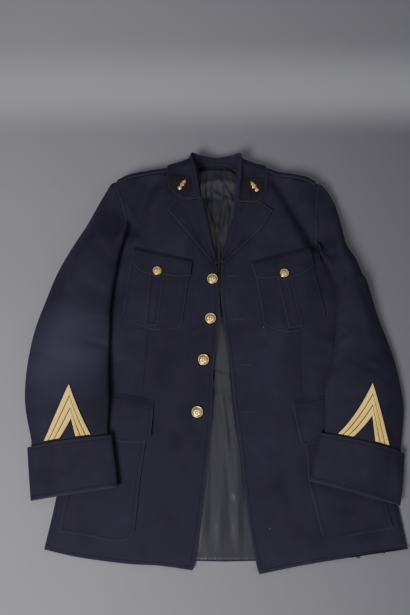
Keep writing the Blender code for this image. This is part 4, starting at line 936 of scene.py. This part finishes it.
for side, rings, creases, apex, foot in (
        ("left", LEFT_SLEEVE, LEFT_CREASES, (0.565, 8.02, 9.35), (0.218, 0.417, 0.768, 0.59)),
        ("right", RIGHT_SLEEVE, RIGHT_CREASES, (0.445, 7.95, 9.15), (0.815, 0.637, 0.208, 0.394))):
    for stripe, (length, area) in enumerate(((0.20, 0.00138), (0.147, 0.00101), (0.099, 0.00068))):
        edges = []
        for t in ((stripe + 0.93) / 3, (stripe + 0.04) / 3):
            edges.append((apex[1] + (apex[2] - apex[1]) * t, apex[0], foot[0] + (foot[1] - foot[0]) * t,
                          foot[2] + (foot[3] - foot[2]) * t, 10.14))
        cloth("chevron_%s_%d_braid" % (side, stripe + 1), "chevron_%s_%d" % (side, stripe + 1),
              chevron_points(rings, creases, edges[0], edges[1], 7, 81), BRAID_WALL, gold_braid)


# COLLAR PATCHES AND SPRIGS
# A five-sided velvet patch on each end of the collar, with a leaf sprig embroidered in
# gilt wire. The sprig is a plain leaf and berry of no one's design.
VELVET_WALL = 0.1


def velvet_material():
    """Velvet: near black, with a strong soft sheen and short upright pile in the bump."""
    made, tree, shader = new_material("black_velvet_pile", 0.95, Sheen_Weight=0.5, Sheen_Roughness=0.3,
                                      Sheen_Tint=srgb(90, 88, 110), Specular_IOR_Level=0.1)
    place = node(tree, "TexCoord").outputs["Object"]
    base = mixed(tree, noise(tree, place, 55, 3), srgb(25, 22, 28), srgb(39, 35, 43))
    surface(tree, shader, base, times(tree, noise(tree, place, 2200, 2), 0.0003), 0.9)
    return made


def gilt_material():
    """Polished gilt brass: warm metal, darker in its hollows, with fine scuffs in the roughness."""
    made, tree, shader = new_material("gilt_brass_metal", 0.26, Metallic=1.0)
    place = node(tree, "TexCoord").outputs["Object"]
    scuff = noise(tree, place, 900, 4)
    relief = node(tree, "Attribute", attribute_name="relief").outputs["Fac"]
    base = mixed(tree, noise(tree, place, 210, 3), srgb(240, 196, 116), srgb(255, 236, 178))
    base = mixed(tree, sums(tree, "SUBTRACT", 1.0, relief, clamp=True), base, srgb(140, 98, 44))
    surface(tree, shader, base, times(tree, scuff, 0.00002), 0.5)
    tree.links.new(ranged(tree, scuff, 0.3, 0.7, 0.2, 0.4), shader.inputs["Roughness"])
    return made


black_velvet, gilt_brass = velvet_material(), gilt_material()
PATCH_PLANS = {
    "left": ([(-7.8, 31.3), (-7.9, 34.2)], [(-4.2, 31.2), (-4.3, 34.4)],
             [(-7.8, 31.3), (-5.6, 29.4), (-4.2, 31.2)], [(-7.9, 34.2), (-4.3, 34.4)]),
    "right": ([(6.6, 31.0), (6.7, 34.0)], [(10.2, 31.0), (10.3, 33.8)],
              [(6.6, 31.0), (8.4, 28.9), (10.2, 31.0)], [(6.7, 34.0), (10.3, 33.8)])}
for side, (start, end, bottom, top) in PATCH_PLANS.items():
    lift = [REST + 0.02, REST + 0.02]
    grid = laid_points(start, end, bottom, top, (36, 36), lift, VELVET_WALL, leaf_height)
    cloth("collar_patch_%s_velvet" % side, "collar_patch_" + side, grid, VELVET_WALL, black_velvet)


def gilt_form(name, stands_for, top, base, relief):
    """Gilt solid between a grid's top face and its base face, joined at the rim; columns go round."""
    rows, columns = top.shape[:2]
    points = np.concatenate([top, base[::-1]]).reshape(-1, 3)
    index = np.arange(2 * rows * columns).reshape(2 * rows, columns)
    index = np.hstack([index, index[:, :1]])
    mesh = bpy.data.meshes.new(name)
    mesh.from_pydata((points * CM).tolist(), [], quads(index).tolist())
    mark = mesh.attributes.new("relief", "FLOAT", "POINT")
    mark.data.foreach_set("value", np.concatenate([relief, relief[::-1]]).astype(np.float32).ravel())
    piece = placed(mesh, gilt_brass)
    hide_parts(stands_for)


def sprig_form(x, y, z, turn, rows=26, columns=96):
    """Leaf over a berry: polar grid whose rim follows both, raised into a vein, ribs and a round berry."""
    angle = round_angles(columns)[None, :]
    share = (np.linspace(0.02, 1, rows) ** 0.8)[:, None]
    t = 0.5 + 0.5 * np.cos(angle)
    leaf = np.clip(np.sin(np.pi * np.clip((t - 0.26) / 0.74, 0, 1) ** 0.75), 0, 1) ** 0.7
    leaf = 0.5 * leaf * (0.8 + 0.2 * np.cos(8 * np.pi * t))
    berry = 0.4 * np.sqrt(np.clip(1 - ((t - 0.15) / 0.155) ** 2, 0, 1))
    half = np.maximum(leaf, berry) + 0.05 * (1 - t) * (t > 0.01) * (t < 0.5) + 0.015
    across = half * np.sign(np.sin(angle)) * share
    along = (0.46 + (t - 0.46) * (0.35 + 0.65 * share) - 0.5) * 2.7
    across = np.where(np.abs(np.sin(angle)) < 1e-6, 0.0, across)
    rib = 0.5 + 0.5 * np.cos(2 * np.pi * (along * 3.0 + np.abs(across) * 2.4))
    ball = np.exp(-(((along + 0.92) / 0.34) ** 2 + (across / 0.34) ** 2))
    rib = rib * (1 - ball) + ball
    height = 0.05 + 0.10 * (1 - share ** 2) + 0.05 * rib * (1 - share ** 6) + 0.10 * ball
    c, s = np.cos(turn), np.sin(turn)
    top = np.stack([x + across * c - along * s, y + across * s + along * c, z + height], -1)
    base = top.copy()
    base[..., 2] = z - 0.05
    return top, base, 0.5 + 0.5 * rib * np.ones_like(top[..., 0])


for side, x, y, turn in (("left", -6.0, 32.2, -0.55), ("right", 8.4, 31.8, 0.55)):
    z = float(leaf_height(np.array(x), np.array(y))) + 0.36
    gilt_form("collar_sprig_%s_gilt" % side, "collar_sprig_" + side, *sprig_form(x, y, z, turn))


# BUTTONS
# Domed gilt buttons: four down the front and one on each breast flap. Each has a corded
# rim and a plain rosette pressed into the dome.
FRONT_BUTTON, FLAP_BUTTON = 2.05, 1.7


def button_form(size, x, y, z, rows=36, columns=72):
    """Profile of dome, groove and rim by radius, with eight petals on the dome and cord on the rim."""
    r = size / 2
    angle = round_angles(columns)[None, :]
    at = np.linspace(0.01, 1, rows)[:, None]
    profile = np.interp(at, [0, 0.42, 0.72, 0.82, 0.88, 0.94, 1.0], [0.58, 0.55, 0.46, 0.38, 0.39, 0.4, 0.33])
    petal = 0.035 * np.cos(8 * angle) * np.exp(-((at - 0.45) / 0.18) ** 2)
    eye = 0.03 * np.exp(-(at / 0.14) ** 2) - 0.03 * np.exp(-((at - 0.2) / 0.05) ** 2)
    cord = 0.022 * np.cos(30 * angle + 26 * at) * np.exp(-((at - 0.93) / 0.045) ** 2)
    groove = 0.03 * np.exp(-((at - 0.8) / 0.035) ** 2)
    height = (profile + petal + eye + cord - groove) * r
    top = np.stack([x + at * r * np.cos(angle), y + at * r * np.sin(angle), z + height], -1)
    under = np.interp(at, [0, 0.34, 0.345, 0.9, 1.0], [0.0, 0.0, 0.16, 0.2, 0.27]) * r
    base = np.stack([x + at * r * np.cos(angle), y + at * r * np.sin(angle), z + under + 0 * angle], -1)
    hollows = petal * 9 + cord * 14 - groove * 12 + eye * 8
    return top, base, np.clip(0.8 + hollows, 0, 1)


for number, (x, y) in enumerate([(0.0, 12.3), (-0.4, 4.4), (-1.7, -3.5), (-2.8, -13.0)], 1):
    z = float(front_height(np.array(x), np.array(y))) + REST + 0.06
    name = "front_button_%d" % number
    gilt_form(name + "_gilt", name, *button_form(FRONT_BUTTON, x, y, z))
for side, x, y in (("left", -10.5, 13.4), ("right", 13.6, 12.95)):
    z = float(front_height(np.array(x), np.array(y))) + FLAP_LIFT + FLAP_WALL + REST
    gilt_form("flap_button_%s_gilt" % side, "flap_button_" + side, *button_form(FLAP_BUTTON, x, y, z))


# BUTTONHOLES
# Four worked holes on the other front, each a slit bound all round in navy thread. They lie
# about level with their buttons and aren't cut through the cloth.
def thread_material():
    """Sewing thread: navy, a little glossier than the wool, with a fine twist."""
    made, tree, shader = new_material("navy_thread", 0.6, Sheen_Weight=0.06, Sheen_Tint=srgb(150, 150, 190))
    place = node(tree, "TexCoord").outputs["Object"]
    twist = noise(tree, place, 2600, 1)
    surface(tree, shader, mixed(tree, twist, srgb(12, 11, 18), srgb(28, 26, 38)), times(tree, twist, 0.0001))
    return made


def buttonhole_points(x, y, turn, length=2.3, width=0.2, radius=0.075, rows=120, columns=10):
    """Tube round an oval slit, its thickness beating with the purl of each thread."""
    t = round_angles(rows)
    reach = np.sign(np.cos(t)) * np.abs(np.cos(t)) ** 0.45
    px, py = reach * length / 2, np.sin(t) * width / 2 * (1 + 0.5 * (reach < -0.8))
    cx = x + px * np.cos(turn) - py * np.sin(turn)
    cy = y + px * np.sin(turn) + py * np.cos(turn)
    cz = front_surface(cx, cy) + 0.02
    turns = round_angles(columns)[None, :]
    size = (radius * (0.86 + 0.14 * np.cos(t * 34)))[:, None]
    way = np.stack([np.gradient(cx), np.gradient(cy)], -1)
    way = way / np.linalg.norm(way, axis=1, keepdims=True)
    return np.stack([cx[:, None] - way[:, 1:] * size * np.cos(turns),
                     cy[:, None] + way[:, :1] * size * np.cos(turns), cz[:, None] + size * np.sin(turns)], -1)


def thread_tubes(name, grids, closed=True):
    """One mesh of several threads whose grids all have the same size, closed both ways or capped."""
    grids = np.stack(grids)
    count, rows, columns = grids.shape[:3]
    index = np.arange(grids[..., 0].size).reshape(count, rows, columns)
    if closed:
        index = np.concatenate([index, index[:, :1]], 1)
    index = np.concatenate([index, index[:, :, :1]], 2)
    faces = quads(index).tolist()
    if not closed:
        faces += index[:, 0, :-1].tolist() + index[:, -1, -2::-1].tolist()
    mesh = bpy.data.meshes.new(name)
    mesh.from_pydata((grids.reshape(-1, 3) * CM).tolist(), [], faces)
    placed(mesh, navy_thread)


navy_thread = thread_material()
HOLES = [(4.0, 13.0, 0.0), (4.9, 4.4, 0.0), (5.9, -4.4, -0.06), (6.6, -12.9, -0.04)]
thread_tubes("front_buttonholes", [buttonhole_points(*hole) for hole in HOLES])


# TOPSTITCHING
# One row of machine stitches 6 mm in from the edges of the fronts, lapels, collar, flaps,
# pockets and cuffs, in navy thread about as dark as the wool.
STITCH, GAP, THREAD = 0.26, 0.09, 0.032


def along_grid(grid, lines):
    """Points at equal steps on a surface grid along lines given by shares across and up."""
    rows, columns = grid.shape[:2]
    found = []
    for line in lines:
        line = np.array(line, float)
        fine = np.concatenate([line[:-1][k] + (line[1:][k] - line[:-1][k]) * np.linspace(0, 1, 200)[:, None]
                               for k in range(len(line) - 1)])
        c, r = fine[:, 0] * (columns - 1), fine[:, 1] * (rows - 1)
        c0, r0 = np.minimum(c.astype(int), columns - 2), np.minimum(r.astype(int), rows - 2)
        fc, fr = (c - c0)[:, None], (r - r0)[:, None]
        point = ((1 - fc) * (1 - fr) * grid[r0, c0] + fc * (1 - fr) * grid[r0, c0 + 1]
                 + (1 - fc) * fr * grid[r0 + 1, c0] + fc * fr * grid[r0 + 1, c0 + 1])
        run = np.r_[0, np.cumsum(np.linalg.norm(np.diff(point, axis=0), axis=1))]
        at = np.arange(0, run[-1] - STITCH, STITCH + GAP)
        for shift in (0, STITCH):
            found.append(np.stack([np.interp(at + shift, run, point[:, k]) for k in range(3)], 1))
    return np.concatenate(found[0::2]), np.concatenate(found[1::2])


def stitch_grids(starts, ends):
    """A bead for each stitch: five rings of six points, thin at both ends and sunk a little there."""
    way = ends - starts
    way = way / np.linalg.norm(way, axis=1, keepdims=True)
    flat = np.stack([-way[:, 1], way[:, 0], np.zeros(len(way))], -1)
    flat = flat / np.maximum(np.linalg.norm(flat, axis=1, keepdims=True), 1e-6)
    high = np.cross(flat, -way)
    high = high * np.sign(high[:, 2:3] + 1e-9)
    at = np.array([0.0, 0.15, 0.5, 0.85, 1.0])[None, :, None, None]
    size = THREAD * np.array([0.35, 0.85, 1.0, 0.85, 0.35])[None, :, None, None]
    sink = THREAD * np.array([-0.9, 0.1, 0.45, 0.1, -0.9])[None, :, None, None]
    turn = round_angles(6)[None, None, :, None]
    line = starts[:, None, None] * (1 - at) + ends[:, None, None] * at
    flat, high = flat[:, None, None], high[:, None, None]
    return line + flat * size * np.cos(turn) + high * (size * np.sin(turn) + sink)


def framed(u0, u1, v0, v1, sides):
    """Line inside a grid's edges, as shares across and up, along the sides named in order."""
    corners = {"left": [(u0, v1), (u0, v0)], "bottom": [(u0, v0), (u1, v0)], "right": [(u1, v0), (u1, v1)],
               "top": [(u1, v1), (u0, v1)]}
    return [corners[side] for side in sides]


FRONT_LINES = [[(0.052, 0.016), (0.052, 0.66)], [(0.05, 0.012), (0.99, 0.012)]]
LAPEL_LINES = [[(0.93, 0.04), (0.93, 0.95)], [(0.93, 0.95), (0.3, 0.95)]]
COLLAR_LINES = [[(0.07, 0.012), (0.07, 0.988)], [(0.07, 0.012), (0.5, 0.012)], [(0.07, 0.988), (0.5, 0.988)]]
SEWN = {"stitches_front_left": (LEFT_FRONT, FRONT_LINES), "stitches_front_right": (RIGHT_FRONT, FRONT_LINES),
        "stitches_lapel_left": (LAPEL_GRIDS["left"], LAPEL_LINES),
        "stitches_lapel_right": (LAPEL_GRIDS["right"], LAPEL_LINES),
        "stitches_collar": (COLLAR_GRID, COLLAR_LINES)}
for name, grid in POCKET_GRIDS.items():
    if "pleat" in name:
        SEWN["stitches_" + name] = (grid, framed(0.12, 0.88, 0.02, 0.99, ["left", "right"]))
    elif "flap" in name:
        wide, high = (0.055, 0.16) if "breast" in name else (0.045, 0.085)
        SEWN["stitches_" + name] = (grid, framed(wide, 1 - wide, high, 0.98, ["left", "bottom", "right"]))
    else:
        wide, high = (0.05, 0.045) if "breast" in name else (0.045, 0.03)
        SEWN["stitches_" + name] = (grid, framed(wide, 1 - wide, high, 0.98, ["left", "bottom", "right"]))
for name, (grid, lines) in SEWN.items():
    thread_tubes(name, stitch_grids(*along_grid(grid, lines)), closed=False)
for side, grid in CUFF_GRIDS.items():
    around = np.concatenate([grid, grid[:, :1]], 1)
    lines = [[(0.0, 0.07), (1.0, 0.07)]]
    thread_tubes("stitches_cuff_" + side, stitch_grids(*along_grid(around, lines)), closed=False)


# STAGE
# A grey floor with painted shade to its right and a painted highlight band far behind, soft light from the
# lower left and above, and the photograph's view from 20 degrees off straight down.
def floor_material():
    """Grey paper sweep: a faint mottle, painted shade darkening it to the right, and a painted highlight band
    far behind.
    """
    made, tree, shader = new_material("grey_floor", 0.75, Specular_IOR_Level=0.25)
    place = node(tree, "TexCoord").outputs["Object"]
    base = mixed(tree, noise(tree, place, 6, 5), srgb(124, 123, 129), srgb(131, 130, 136))
    spot = node(tree, "SeparateXYZ", {"Vector": place}).outputs
    # Painted shade: the floor darkens towards the right.
    base = mixed(tree, ranged(tree, spot["X"], -0.42, 0.5, 0, 1), base, srgb(92, 91, 97))
    # Painted highlight: a pale band across the floor far behind.
    rise = ranged(tree, spot["Y"], 0.46, 0.58, 0, 1, smooth_step=True)
    painted_highlight_band = times(tree, rise, ranged(tree, spot["Y"], 0.6, 0.74, 1, 0.4, smooth_step=True))
    base = mixed(tree, times(tree, painted_highlight_band, 0.55), base, srgb(172, 172, 178))
    tree.links.new(base, shader.inputs["Base Color"])
    return made


ground = bpy.data.meshes.new("floor")
ground.from_pydata([(x, y, -0.0002) for x, y in ((-3, -3), (3, -3), (3, 3), (-3, 3))], [], [(0, 1, 2, 3)])
ground.materials.append(floor_material())
floor = bpy.data.objects.new("floor", ground)
bpy.context.scene.collection.objects.link(floor)


def soft_lamp(name, place, aim, size, power, colour=(1, 1, 1)):
    """Square area lamp at a place, turned to face its aim."""
    lamp = bpy.data.lights.new(name, "AREA")
    lamp.shape, lamp.size, lamp.energy, lamp.color = "SQUARE", size, power, colour
    held = bpy.data.objects.new(name, lamp)
    held.location = place
    way = np.array(aim) - np.array(place)
    away = np.hypot(way[0], way[1])
    held.rotation_euler = (np.arctan2(away, -way[2]), 0, np.arctan2(way[1], way[0]) - np.pi / 2)
    bpy.context.scene.collection.objects.link(held)


soft_lamp("key", (-0.75, -1.2, 1.55), (0, -0.05, 0), 0.7, 52, (1.0, 0.98, 0.97))
soft_lamp("side", (1.5, -0.6, 1.3), (0, 0, 0), 1.0, 4, (0.95, 0.97, 1.0))
soft_lamp("sky", (0.2, 0.5, 2.3), (0, 0, 0), 1.6, 11)
world = bpy.data.worlds.new("studio")
world.use_nodes = True
world.node_tree.nodes["Background"].inputs["Color"].default_value = (0.9, 0.93, 1.0, 1)
world.node_tree.nodes["Background"].inputs["Strength"].default_value = 0.2
bpy.context.scene.world = world

lens = bpy.data.cameras.new("view")
lens.lens, lens.sensor_fit, lens.sensor_height = 35, "VERTICAL", 36
camera = bpy.data.objects.new("view", lens)
camera.location = (-0.0142, -0.319, 1.08)
camera.rotation_euler = (np.radians(20), 0, 0)
bpy.context.scene.collection.objects.link(camera)
bpy.context.scene.camera = camera
